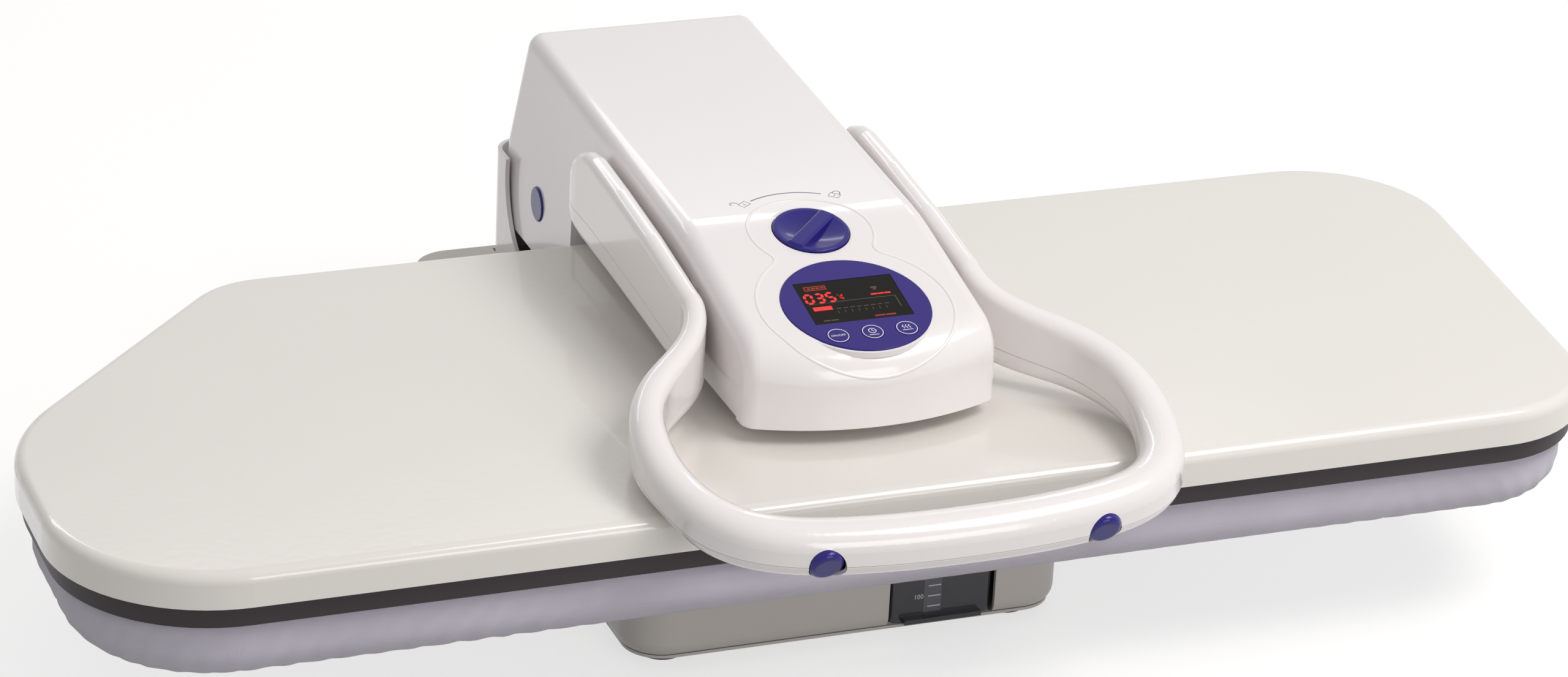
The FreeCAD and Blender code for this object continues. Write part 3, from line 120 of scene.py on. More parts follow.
def seen_rays(tree):
    """One where the ray comes from the camera, a mirror or glass, and nought elsewhere."""
    rays = tree.nodes.new("ShaderNodeLightPath")
    first = tree.nodes.new("ShaderNodeMath")
    first.operation = "MAXIMUM"
    second = tree.nodes.new("ShaderNodeMath")
    second.operation = "MAXIMUM"
    joined(tree, rays, "Is Camera Ray", first, 0)
    joined(tree, rays, "Is Glossy Ray", first, 1)
    joined(tree, first, 0, second, 0)
    joined(tree, rays, "Is Transmission Ray", second, 1)
    return second.outputs[0]


choice = world_nodes.new("ShaderNodeMixShader")
world_links.new(seen_rays(world.node_tree), choice.inputs["Fac"])
world_links.new(room.outputs["Background"], choice.inputs[1])
world_links.new(white.outputs["Background"], choice.inputs[2])
world_links.new(choice.outputs["Shader"], world_nodes["World Output"].inputs["Surface"])

floor_half = 9.0
floor_mesh = bpy.data.meshes.new("floor")
floor_mesh.from_pydata([(-floor_half, -floor_half, 0), (floor_half, -floor_half, 0),
                        (floor_half, floor_half, 0), (-floor_half, floor_half, 0)], [], [(0, 1, 2, 3)])
floor = bpy.data.objects.new("floor", floor_mesh)
bpy.context.scene.collection.objects.link(floor)
floor_paint = bpy.data.materials.new("floor_paint")
floor_paint.use_nodes = True
paint_nodes = floor_paint.node_tree.nodes
paint_links = floor_paint.node_tree.links
matt = paint_nodes["Principled BSDF"]
matt.inputs["Base Color"].default_value = (0.42, 0.415, 0.41, 1.0)
matt.inputs["Roughness"].default_value = 0.9
matt.inputs["Specular IOR Level"].default_value = 0.1
glow = paint_nodes.new("ShaderNodeEmission")
glow.inputs["Color"].default_value = (1.0, 1.0, 1.0, 1.0)
glow_level = paint_nodes.new("ShaderNodeMath")
glow_level.operation = "MULTIPLY"
glow_level.inputs[1].default_value = 0.66
paint_links.new(seen_rays(floor_paint.node_tree), glow_level.inputs[0])
paint_links.new(glow_level.outputs[0], glow.inputs["Strength"])
both = paint_nodes.new("ShaderNodeAddShader")
paint_links.new(matt.outputs["BSDF"], both.inputs[0])
paint_links.new(glow.outputs["Emission"], both.inputs[1])
paint_links.new(both.outputs["Shader"], paint_nodes["Material Output"].inputs["Surface"])
floor_mesh.materials.append(floor_paint)

# The base: a warm grey moulded housing on four rubber feet, with the mains inlet at its back. It is
# ABS with a fine spark-eroded skin, screwed to a floor plate.
base_grey = (0.60, 0.565, 0.530)


def moulded(name, colour, roughness, grain=0.00003, grain_scale=1400.0, mottle=0.025, coat=0.0, shine=0.5):
    """Moulded plastic: a skin as fine as its mould left it, and a tone that is never quite even."""
    material = bpy.data.materials.new(name)
    material.use_nodes = True
    tree = material.node_tree
    shader = tree.nodes["Principled BSDF"]
    place = tree.nodes.new("ShaderNodeTexCoord")
    cloud = added(tree, "ShaderNodeTexNoise", ("Scale", 7.0), ("Detail", 3.0))
    tone = tree.nodes.new("ShaderNodeMix")
    tone.data_type = "RGBA"
    tone.inputs["A"].default_value = (*[c * (1.0 - mottle) for c in colour], 1.0)
    tone.inputs["B"].default_value = (*[min(c * (1.0 + mottle), 1.0) for c in colour], 1.0)
    skin = added(tree, "ShaderNodeTexNoise", ("Scale", grain_scale), ("Detail", 2.0))
    bump = added(tree, "ShaderNodeBump", ("Strength", 0.6), ("Distance", grain))
    wear = added(tree, "ShaderNodeMapRange", ("To Min", roughness - 0.03), ("To Max", roughness + 0.05))
    joined(tree, place, "Object", cloud, "Vector")
    joined(tree, place, "Object", skin, "Vector")
    joined(tree, cloud, "Fac", tone, "Factor")
    joined(tree, cloud, "Fac", wear, "Value")
    joined(tree, tone, "Result", shader, "Base Color")
    joined(tree, wear, "Result", shader, "Roughness")
    joined(tree, skin, "Fac", bump, "Height")
    joined(tree, bump, "Normal", shader, "Normal")
    shader.inputs["Specular IOR Level"].default_value = shine
    shader.inputs["Coat Weight"].default_value = coat
    shader.inputs["Coat Roughness"].default_value = 0.05
    return material


def dress(material, *names):
    """Gives CAD pieces their finish."""
    for name in names:
        slots = nodes[name].data.materials
        slots.clear()
        slots.append(material)


base_plastic = moulded("base_plastic", base_grey, 0.38, grain=0.00005)
dress(base_plastic, "base_housing", "base_plate")
rubber = moulded("foot_rubber", (0.022, 0.022, 0.024), 0.72, grain=0.0001, grain_scale=900.0, mottle=0.2)
dress(rubber, "rubber_feet")
black_plastic = moulded("black_nylon", (0.018, 0.018, 0.02), 0.42, mottle=0.1)
dress(black_plastic, "mains_inlet")

# Steel works: plated screws and pins, the grey welded frame and bracket, the springs, and the
# perforated deck. Rolling and turning leave fine lines in them.


def steel(name, colour, roughness, lines=(900.0, 60.0, 60.0), depth=0.00004):
    """Metal with fine working lines, darker and duller where it has been handled."""
    material = bpy.data.materials.new(name)
    material.use_nodes = True
    tree = material.node_tree
    shader = tree.nodes["Principled BSDF"]
    shader.inputs["Metallic"].default_value = 1.0
    place = tree.nodes.new("ShaderNodeTexCoord")
    stretch = added(tree, "ShaderNodeMapping", ("Scale", lines))
    scratches = added(tree, "ShaderNodeTexNoise", ("Scale", 1.0), ("Detail", 4.0))
    patches = added(tree, "ShaderNodeTexNoise", ("Scale", 24.0))
    tone = tree.nodes.new("ShaderNodeMix")
    tone.data_type = "RGBA"
    tone.inputs["A"].default_value = (*[c * 0.78 for c in colour], 1.0)
    tone.inputs["B"].default_value = (*colour, 1.0)
    dull = added(tree, "ShaderNodeMapRange", ("To Min", roughness - 0.08), ("To Max", roughness + 0.12))
    bump = added(tree, "ShaderNodeBump", ("Strength", 0.5), ("Distance", depth))
    joined(tree, place, "Object", stretch, "Vector")
    joined(tree, stretch, "Vector", scratches, "Vector")
    joined(tree, place, "Object", patches, "Vector")
    joined(tree, patches, "Fac", tone, "Factor")
    joined(tree, patches, "Fac", dull, "Value")
    joined(tree, tone, "Result", shader, "Base Color")
    joined(tree, dull, "Result", shader, "Roughness")
    joined(tree, scratches, "Fac", bump, "Height")
    joined(tree, bump, "Normal", shader, "Normal")
    return material


dress(steel("zinc_plate", (0.66, 0.67, 0.68), 0.32), "foot_screws", "bracket_bolts", "hinge_pin",
      "deck_bolts", "head_screws", "shoe_pivot_pin", "handle_pivot_pins", "lock_shaft", "lock_bolt_left",
      "lock_bolt_right", "handle_core", "handle_screws", "shoe_bracket", "lid_screws", "heating_element")
dress(steel("painted_frame", (0.24, 0.25, 0.26), 0.5, (40.0, 400.0, 40.0)), "hinge_bracket", "arm_frame")
dress(steel("spring_wire", (0.36, 0.35, 0.34), 0.3, (200.0, 200.0, 200.0)), "spring_left", "spring_right")
dress(steel("galvanised_deck", (0.56, 0.57, 0.58), 0.42, (500.0, 30.0, 30.0)), "deck_plate")
dress(steel("sintered_bronze", (0.55, 0.36, 0.18), 0.45, (300.0, 300.0, 300.0)), "arm_bushes", "steam_inlet")

# The works on the base floor: pump, hoses, dock and board. They show only when the press is open
# or seen from below through its gaps.
pump_plastic = moulded("pump_nylon", (0.55, 0.54, 0.50), 0.45)
dress(pump_plastic, "pump", "tank_dock", "tank_valve", "lock_guide")
silicone = moulded("silicone_tube", (0.62, 0.60, 0.56), 0.4, mottle=0.06)
silicone.node_tree.nodes["Principled BSDF"].inputs["Subsurface Weight"].default_value = 0.3
dress(silicone, "pump_hoses", "arm_hose")
board_green = moulded("board_lacquer", (0.02, 0.13, 0.05), 0.3, grain=0.00008, grain_scale=500.0,
                      mottle=0.25)
dress(board_green, "control_board", "display_board")
dress(moulded("thermostat_case", (0.05, 0.045, 0.04), 0.4), "thermostat")

# The water tank: a drawer of smoke-tinted clear plastic at the front of the base, with a filler cap
# and a frosted scale strip let into its face.
smoke_tint = (0.075, 0.07, 0.085)


def smoked_clear(name, tint):
    """Clear moulded plastic with a dark tint and faint flow lines."""
    material = bpy.data.materials.new(name)
    material.use_nodes = True
    tree = material.node_tree
    shader = tree.nodes["Principled BSDF"]
    shader.inputs["Transmission Weight"].default_value = 0.55
    shader.inputs["IOR"].default_value = 1.49
    place = tree.nodes.new("ShaderNodeTexCoord")
    flow = added(tree, "ShaderNodeTexNoise", ("Scale", 26.0), ("Distortion", 1.2))
    tone = tree.nodes.new("ShaderNodeMix")
    tone.data_type = "RGBA"
    tone.inputs["A"].default_value = (*[c * 0.7 for c in tint], 1.0)
    tone.inputs["B"].default_value = (*[c * 1.3 for c in tint], 1.0)
    dull = added(tree, "ShaderNodeMapRange", ("To Min", 0.05), ("To Max", 0.16))
    joined(tree, place, "Object", flow, "Vector")
    joined(tree, flow, "Fac", tone, "Factor")
    joined(tree, flow, "Fac", dull, "Value")
    joined(tree, tone, "Result", shader, "Base Color")
    joined(tree, dull, "Result", shader, "Roughness")
    return material


dress(smoked_clear("smoke_clear", smoke_tint), "water_tank")
dress(moulded("scale_strip", (0.10, 0.10, 0.115), 0.5), "level_strip")

scale_low, scale_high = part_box("level_strip")
mark_count = 4
mark_pitch = 0.0072
mark_wide = 0.0085
mark_tall = 0.0007
mark_deep = 0.0003
mark_aside = 0.001
mark_start = 0.004
figure_size = 0.0045
figure_aside = 0.0095


def node_tree_with(name, *inputs):
    """An empty geometry tree that takes a mesh and named sizes, and gives a mesh."""
    group = bpy.data.node_groups.new(name, "GeometryNodeTree")
    group.interface.new_socket("Geometry", in_out="INPUT", socket_type="NodeSocketGeometry")
    for label, kind in inputs:
        group.interface.new_socket(label, in_out="INPUT", socket_type=kind)
    group.interface.new_socket("Geometry", in_out="OUTPUT", socket_type="NodeSocketGeometry")
    return group


def made_by(group, mesh, **sizes):
    """Runs a tree on a mesh with the sizes given, and keeps the result as a plain mesh."""
    maker = bpy.data.objects.new(group.name, mesh)
    bpy.context.scene.collection.objects.link(maker)
    modifier = maker.modifiers.new("tree", "NODES")
    modifier.node_group = group
    for item in group.interface.items_tree:
        if item.in_out == "INPUT" and item.name in sizes:
            modifier[item.identifier] = sizes[item.name]
    evaluated = maker.evaluated_get(bpy.context.evaluated_depsgraph_get())
    result = bpy.data.meshes.new_from_object(evaluated)
    maker.modifiers.clear()
    maker.data = result
    return maker


def finish_tree(group, geometry):
    """The end of each tree: real geometry, and the piece's own material."""
    real = group.nodes.new("GeometryNodeRealizeInstances")
    paint = group.nodes.new("GeometryNodeSetMaterial")
    given = group.nodes["given"]
    out = group.nodes.new("NodeGroupOutput")
    group.links.new(geometry, real.inputs["Geometry"])
    group.links.new(real.outputs["Geometry"], paint.inputs["Geometry"])
    group.links.new(given.outputs["Material"], paint.inputs["Material"])
    group.links.new(paint.outputs["Geometry"], out.inputs["Geometry"])


# Each mark is a small raised bar. The tree sets them in a column, one pitch apart.
marks_tree = node_tree_with("scale_marks", ("Count", "NodeSocketInt"), ("Pitch", "NodeSocketFloat"),
                            ("Bar", "NodeSocketVector"), ("Start", "NodeSocketVector"),
                            ("Material", "NodeSocketMaterial"))
given = marks_tree.nodes.new("NodeGroupInput")
given.name = "given"
step = marks_tree.nodes.new("ShaderNodeCombineXYZ")
column = marks_tree.nodes.new("GeometryNodeMeshLine")
bar = marks_tree.nodes.new("GeometryNodeMeshCube")
stand = marks_tree.nodes.new("GeometryNodeInstanceOnPoints")
joined(marks_tree, given, "Pitch", step, "Z")
joined(marks_tree, given, "Count", column, "Count")
joined(marks_tree, given, "Start", column, "Start Location")
joined(marks_tree, step, "Vector", column, "Offset")
joined(marks_tree, given, "Bar", bar, "Size")
joined(marks_tree, column, "Mesh", stand, "Points")
joined(marks_tree, bar, "Mesh", stand, "Instance")
finish_tree(marks_tree, stand.outputs["Instances"])

scale_ink = moulded("scale_ink", (0.62, 0.64, 0.66), 0.5)
scale_x = (scale_low.x + scale_high.x) / 2
marks = made_by(marks_tree, bpy.data.meshes.new("scale_marks"), Count=mark_count, Pitch=mark_pitch,
                Bar=(mark_wide, mark_deep, mark_tall),
                Start=(scale_x + mark_aside, scale_low.y - mark_deep / 2, scale_low.z + mark_start),
                Material=scale_ink)
marks.name = "scale_marks"
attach(marks, "tank")


def lettering(name, words, size, place, right, up, depth, material):
    """Plain figures as thin solid print, standing on a surface."""
    curve = bpy.data.curves.new(name, "FONT")
    curve.body = words
    curve.size = size
    curve.align_x = "CENTER"
    curve.align_y = "CENTER"
    curve.extrude = depth / 2
    curve.resolution_u = 3
    text = bpy.data.objects.new(name, curve)
    bpy.context.scene.collection.objects.link(text)
    evaluated = text.evaluated_get(bpy.context.evaluated_depsgraph_get())
    mesh = bpy.data.meshes.new_from_object(evaluated)
    bpy.data.objects.remove(text)
    out = Vector(right).cross(Vector(up))
    turn = Matrix((right, up, out)).transposed().to_4x4()
    mesh.transform(Matrix.Translation(Vector(place)) @ turn)
    mesh.materials.clear()
    mesh.materials.append(material)
    print_piece = bpy.data.objects.new(name, mesh)
    bpy.context.scene.collection.objects.link(print_piece)
    return print_piece


for row, figures in ((1, "100"), (3, "200")):
    height = scale_low.z + mark_start + row * mark_pitch
    figure = lettering("scale_figure_" + figures, figures, figure_size,
                       (scale_x - figure_aside, scale_low.y + 0.0001, height), (1, 0, 0), (0, 0, 1),
                       mark_deep, scale_ink)
    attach(figure, "tank")

# The ironing board: a slab of foam on the deck, under a cotton cover. The outline is the press's
# own, tapered on the left and blunt on the right. The foam is cut with a soft edge and a low crown.
board_half = 0.510
board_front = -0.249
board_rear = 0.152
board_taper_x = -0.328
board_taper = math.radians(46.5)
board_slant = math.radians(6.6)
corner_radii = (0.060, 0.130, 0.100, 0.085, 0.088)
right_corner = 0.088
outline_step = 0.0029
board_inset = 0.009
cover_low = 0.0793
cover_high = 0.1185
deck_level = 0.082


def board_corners():
    """The five corners of the outline before they are rounded."""
    depth = board_rear - board_front
    right = board_half - right_corner * (1 - 1 / math.cos(board_slant) - math.tan(board_slant))
    tip = board_rear - (board_taper_x + board_half) * math.tan(board_taper)
    return [Vector((board_taper_x, board_rear)), Vector((-board_half, tip)),
            Vector((-board_half, board_front)),
            Vector((right - depth * math.tan(board_slant), board_front)), Vector((right, board_rear))]


def board_outline(step):
    """Points of the rounded outline at even steps, each with the direction straight outwards."""
    corners = board_corners()
    runs = []
    for i, corner in enumerate(corners):
        before = (corners[i - 1] - corner).normalized()
        after = (corners[(i + 1) % 5] - corner).normalized()
        half = before.angle(after) / 2
        centre = corner + (before + after).normalized() * corner_radii[i] / math.sin(half)
        start = corner + before * corner_radii[i] / math.tan(half)
        end = corner + after * corner_radii[i] / math.tan(half)
        runs.append((centre, start, end, corner_radii[i]))
    points = []
    for i, (centre, start, end, radius) in enumerate(runs):
        first = (start - centre).normalized()
        last = (end - centre).normalized()
        sweep = first.angle(last)
        count = max(2, round(radius * sweep / step))
        for k in range(count):
            share = k / count
            out = (first * math.sin((1 - share) * sweep) + last * math.sin(share * sweep)) / math.sin(sweep)
            points.append((centre + out * radius, out))
        following = runs[(i + 1) % 5][1]
        count = max(1, round((following - end).length / step))
        for k in range(count):
            points.append((end.lerp(following, k / count), last))
    return points


def skin_rings(inset, low, high, low_round, high_round, under, rows):
    """How far in and how high each ring of a rounded slab's skin lies, from below to the top."""
    rings = [(inset + low_round + under * (1 - k / rows[0]), low) for k in range(rows[0])]
    for k in range(rows[1] + 1):
        angle = math.pi / 2 * k / rows[1]
        rings.append((inset + low_round * (1 - math.sin(angle)), low + low_round * (1 - math.cos(angle))))
    straight = high - low - low_round - high_round
    rings += [(inset, low + low_round + straight * k / rows[2]) for k in range(1, rows[2])]
    for k in range(rows[3] + 1):
        angle = math.pi / 2 * k / rows[3]
        rings.append((inset + high_round * (1 - math.cos(angle)), high - high_round * (1 - math.sin(angle))))
    return rings


def skinned(name, outline, rings, fills, crown, shape):
    """A mesh of rings round the outline, closed over the top, with a shaping function on every point."""
    mesh = bpy.data.meshes.new(name)
    middle = Vector((0.0, (board_front + board_rear) / 2))
    points = []
    length = 0.0
    lengths = []
    for i, (place, out) in enumerate(outline):
        lengths.append(length)
        length += (outline[(i + 1) % len(outline)][0] - place).length
    for row, (inset, height) in enumerate(rings):
        for i, (place, out) in enumerate(outline):
            flat = place - out * inset
            share = row / (len(rings) - 1)
            points.append(shape(Vector((flat.x, flat.y, height)), out, lengths[i], length, share))
    last = rings[-1]
    for k in range(1, fills):
        share = 1 - (k / fills) ** 1.1
        for i, (place, out) in enumerate(outline):
            flat = middle + (place - out * last[0] - middle) * share
            rise = crown * (1 - share ** 2)
            spot = Vector((flat.x, flat.y, last[1] + rise))
            points.append(shape(spot, out, lengths[i], length, 1.0 + k / fills))
    points.append(shape(Vector((middle.x, middle.y, last[1] + crown)), outline[0][1], 0.0, length, 2.0))
    around = len(outline)
    faces = []
    total = len(rings) + fills - 1
    for row in range(total - 1):
        for i in range(around):
            j = (i + 1) % around
            low, high = row * around, (row + 1) * around
            faces.append((low + i, low + j, high + j, high + i))
    tip = len(points) - 1
    for i in range(around):
        faces.append(((total - 1) * around + i, (total - 1) * around + (i + 1) % around, tip))
    mesh.from_pydata(points, [], faces)
    mesh.update()
    piece = bpy.data.objects.new(name, mesh)
    bpy.context.scene.collection.objects.link(piece)
    return piece


def smooth(piece):
    piece.data.polygons.foreach_set("use_smooth", [True] * len(piece.data.polygons))
    return piece


def face_out(piece, close=1e-7):
    """Merges doubles and turns every face outwards."""
    form = bmesh.new()
    form.from_mesh(piece.data)
    bmesh.ops.remove_doubles(form, verts=form.verts, dist=close)
    bmesh.ops.recalc_face_normals(form, faces=form.faces)
    form.to_mesh(piece.data)
    form.free()
    return piece


def foam_shape(point, out, along, whole, row):
    return point + Vector((0, 0, 0.0004 * noise.noise(point * 30.0)))


foam_inset = board_inset + 0.004
foam_low = deck_level + 0.0004
foam_high = 0.1163
foam_low_round = 0.017
foam_high_round = 0.008
foam_step = 0.008
foam_under = 0.027667
foam_rings = [(foam_inset + foam_low_round + foam_under, foam_low)]
foam_rings += skin_rings(foam_inset, foam_low, foam_high, foam_low_round, foam_high_round, 0.0, (0, 6, 4, 5))
foam_outline = board_outline(foam_step)
foam_piece = skinned("foam_slab", foam_outline, foam_rings, 14, 0.0003, foam_shape)
closing = bmesh.new()
closing.from_mesh(foam_piece.data)
closing.faces.new(list(closing.verts)[:len(foam_outline)])
closing.to_mesh(foam_piece.data)
closing.free()
face_out(smooth(foam_piece))
foam_look = moulded("open_foam", (0.52, 0.47, 0.33), 0.9, grain=0.0006, grain_scale=700.0, mottle=0.12)
foam_piece.data.materials.append(foam_look)
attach(foam_piece, "base")
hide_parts("foam_pad")

# The cover: lavender-grey cotton, pulled down over the foam and drawn in under the deck by an
# elastic. The pull leaves slanting folds along its side, most of them near the ends.
cover_hem = 0.030
cover_thick = 0.0011
cover_low_round = 0.0215
cover_high_round = 0.009
fold_pitch = 0.0190
fold_height = 0.0012


def bunching(along, whole):
    """How strongly the cloth is bunched at a place round the board, from 0 to 1."""
    turn = 2 * math.pi * along / whole
    spot = Vector((math.cos(turn), math.sin(turn), 0.0))
    coarse = noise.noise(spot * 2.4 + Vector((7.1, 3.3, 0.5)))
    fine = noise.noise(spot * 9.0 + Vector((1.7, 8.2, 4.4)))
    return min(1.0, max(0.12, 0.42 + 1.1 * coarse + 0.55 * fine))


def cover_shape(point, out, along, whole, row):
    """Slanting pull folds on the side, a slight waviness on top, and gathers at the hem."""
    side = Vector((out.x, out.y, 0.0))
    height = (point.z - cover_low) / (cover_high - cover_low)
    if row >= 1.0:
        ripple = noise.noise(point * 16.0) * 0.0004 + noise.noise(point * 55.0) * 0.00012
        return point + Vector((0, 0, ripple - 0.0003))
    slant = 0.55 * (cover_high - point.z) * (1 if along < whole / 2 else -1)
    warp = 0.35 * noise.noise(Vector((along * 22.0, point.z * 40.0, 1.3)))
    wave = math.sin(2 * math.pi * ((along + slant) / fold_pitch + warp))
    second = math.sin(2 * math.pi * ((along + 1.7 * slant) / (fold_pitch * 0.58) + 2.0 * warp))
    strength = bunching(along, whole)
    reach = max(0.0, 1.0 - 0.75 * height) * min(1.0, row * 3.0 + 0.15)
    ridge = fold_height * strength * reach * (0.8 * wave + 0.2 * second)
    slack = 0.0006 * noise.noise(Vector((along * 9.0, point.z * 18.0, 5.0)))
    moved = point + side * (ridge + slack - 0.0006)
    if row < 0.30:
        moved.z += 0.0003 * wave * strength
    return moved


cover_outline = board_outline(outline_step)
cover_rings = skin_rings(board_inset, cover_low, cover_high, cover_low_round, cover_high_round, cover_hem,
                         (7, 11, 7, 6))
cover_piece = skinned("cotton_cover", cover_outline, cover_rings, 12, 0.0002, cover_shape)
housing_low, housing_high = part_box("base_housing")
trim = bmesh.new()
trim.from_mesh(cover_piece.data)
inside_base = []
for face in trim.faces:
    spot = face.calc_center_median()
    within = abs(spot.x) < housing_high.x + 0.0015 and spot.y > housing_low.y - 0.0015
    if within and spot.z < deck_level - 0.0013:
        inside_base.append(face)
bmesh.ops.delete(trim, geom=inside_base, context="FACES")
bmesh.ops.recalc_face_normals(trim, faces=trim.faces)
trim.to_mesh(cover_piece.data)
trim.free()
smooth(cover_piece)
thicken = cover_piece.modifiers.new("cloth", "SOLIDIFY")
thicken.thickness = cover_thick
thicken.offset = -1.0


def cotton(name, colour, thread):
    """Woven cotton: two crossed sets of threads, a soft sheen and faint wash marks."""
    material = bpy.data.materials.new(name)
    material.use_nodes = True
    tree = material.node_tree
    shader = tree.nodes["Principled BSDF"]
    shader.inputs["Roughness"].default_value = 0.85
    shader.inputs["Sheen Weight"].default_value = 0.35
    shader.inputs["Sheen Roughness"].default_value = 0.4
    place = tree.nodes.new("ShaderNodeTexCoord")
    waves = []
    for direction in ("X", "Y"):
        wave = tree.nodes.new("ShaderNodeTexWave")
        wave.bands_direction = direction
        wave.inputs["Scale"].default_value = 1.0 / thread / 2.0
        wave.inputs["Distortion"].default_value = 0.6
        joined(tree, place, "Object", wave, "Vector")
        waves.append(wave)
    upright = tree.nodes.new("ShaderNodeTexWave")
    upright.bands_direction = "Z"
    upright.inputs["Scale"].default_value = 1.0 / thread / 2.0
    joined(tree, place, "Object", upright, "Vector")
    cross = tree.nodes.new("ShaderNodeMath")
    cross.operation = "ADD"
    tree.links.new(waves[0].outputs["Fac"], cross.inputs[0])
    tree.links.new(waves[1].outputs["Fac"], cross.inputs[1])
    weave = tree.nodes.new("ShaderNodeMath")
    weave.operation = "ADD"
    joined(tree, cross, 0, weave, 0)
    joined(tree, upright, "Fac", weave, 1)
    cloud = added(tree, "ShaderNodeTexNoise", ("Scale", 18.0), ("Detail", 5.0))
    joined(tree, place, "Object", cloud, "Vector")
    tone = tree.nodes.new("ShaderNodeMix")
    tone.data_type = "RGBA"
    tone.inputs["A"].default_value = (*[c * 0.88 for c in colour], 1.0)
    tone.inputs["B"].default_value = (*[c * 1.08 for c in colour], 1.0)
    joined(tree, cloud, "Fac", tone, "Factor")
    joined(tree, tone, "Result", shader, "Base Color")
    bump = added(tree, "ShaderNodeBump", ("Strength", 0.5), ("Distance", 0.00012))
    joined(tree, weave, 0, bump, "Height")
    joined(tree, bump, "Normal", shader, "Normal")
    return material


cover_piece.data.materials.append(cotton("lavender_cotton", (0.62, 0.59, 0.68), 0.0006))
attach(cover_piece, "base")
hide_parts("pad_cover")

# The elastic in the cover's hem: a flat rubber band in a gathered casing, swept round the outline
# under the deck, and open where the base stands.
elastic_radius = 0.0016
elastic_inset = 0.0612
elastic_level = 0.0776
gather_pitch = 0.0042

elastic_tree = node_tree_with("gathered_elastic", ("Radius", "NodeSocketFloat"),
                              ("Gathers", "NodeSocketFloat"), ("Step", "NodeSocketFloat"),
                              ("Material", "NodeSocketMaterial"))
given = elastic_tree.nodes.new("NodeGroupInput")
given.name = "given"
line = elastic_tree.nodes.new("GeometryNodeMeshToCurve")
even = elastic_tree.nodes.new("GeometryNodeResampleCurve")
even.mode = "LENGTH"
travel = elastic_tree.nodes.new("GeometryNodeSplineParameter")
phase = elastic_tree.nodes.new("ShaderNodeMath")
phase.operation = "DIVIDE"
swell = elastic_tree.nodes.new("ShaderNodeMath")
swell.operation = "SINE"
amount = added(elastic_tree, "ShaderNodeMapRange", ("From Min", -1.0), ("To Min", 0.72), ("To Max", 1.0))
widths = elastic_tree.nodes.new("GeometryNodeSetCurveRadius")
round_section = added(elastic_tree, "GeometryNodeCurvePrimitiveCircle", ("Resolution", 8))
sweep = added(elastic_tree, "GeometryNodeCurveToMesh", ("Fill Caps", True))
soften = elastic_tree.nodes.new("GeometryNodeSetShadeSmooth")
joined(elastic_tree, given, "Geometry", line, "Mesh")
joined(elastic_tree, line, "Curve", even, "Curve")
joined(elastic_tree, given, "Step", even, "Length")
joined(elastic_tree, travel, "Length", phase, 0)
joined(elastic_tree, given, "Gathers", phase, 1)
joined(elastic_tree, phase, 0, swell, 0)
joined(elastic_tree, swell, 0, amount, "Value")
joined(elastic_tree, even, "Curve", widths, "Curve")
joined(elastic_tree, amount, "Result", widths, "Radius")
joined(elastic_tree, given, "Radius", round_section, "Radius")
joined(elastic_tree, widths, "Curve", sweep, "Curve")
joined(elastic_tree, round_section, "Curve", sweep, "Profile Curve")
joined(elastic_tree, amount, "Result", sweep, "Scale")
joined(elastic_tree, sweep, "Mesh", soften, "Geometry")
finish_tree(elastic_tree, soften.outputs["Geometry"])

elastic_places = [place - out * elastic_inset for place, out in board_outline(0.004)]
free = [abs(p.x) > housing_high.x + 0.004 or p.y < housing_low.y - 0.004 for p in elastic_places]
start = next(i for i in range(len(free)) if free[i] and not free[i - 1])
round_trip = [(start + i) % len(free) for i in range(len(free))]
elastic_points = [(*elastic_places[i], elastic_level) for i in round_trip if free[i]]
elastic_line = bpy.data.meshes.new("elastic_line")
elastic_line.from_pydata(elastic_points, [(i, i + 1) for i in range(len(elastic_points) - 1)], [])
ribbed_rubber = cotton("elastic_casing", (0.46, 0.44, 0.50), 0.0009)
elastic_piece = made_by(elastic_tree, elastic_line, Radius=elastic_radius, Gathers=gather_pitch / math.tau,
                        Step=0.0011, Material=ribbed_rubber)
elastic_piece.name = "gathered_hem"
face_out(elastic_piece)
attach(elastic_piece, "base")
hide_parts("cover_elastic")

# The shoe: the lid is a deep-drawn steel tray in warm white stove enamel, over a dark coated
# aluminium plate with the heating tube cast into it.
lid_white = (0.800, 0.765, 0.720)
enamel = moulded("warm_enamel", lid_white, 0.17, grain=0.00012, grain_scale=160.0, mottle=0.012, coat=0.6)
dress(enamel, "lid_cover")
dress(moulded("dark_coating", (0.045, 0.038, 0.042), 0.45, grain=0.00006, grain_scale=1100.0, mottle=0.15,
              shine=0.25), "plate_rim")
dress(steel("ground_plate", (0.62, 0.62, 0.63), 0.3, (15.0, 700.0, 15.0)), "heat_plate")
dress(moulded("mineral_board", (0.45, 0.43, 0.38), 0.9, grain=0.0003, grain_scale=400.0, mottle=0.15),
      "insulation_sheet")

# The arm's head and the column behind it: glossy white ABS covers round the steel frame, with indigo
# caps over the ends of the hinge pin.
head_white = (0.850, 0.812, 0.806)
gloss_white = moulded("gloss_white", head_white, 0.20, grain=0.00003, grain_scale=500.0, mottle=0.01,
                      coat=0.5)
dress(gloss_white, "head_top_cover", "head_bottom_cover", "column_cover")
indigo = (0.018, 0.009, 0.190)
gloss_indigo = moulded("gloss_indigo", indigo, 0.14, grain=0.00002, mottle=0.06, coat=0.2, shine=0.25)
dress(gloss_indigo, "hinge_caps", "lock_knob", "fill_cap")

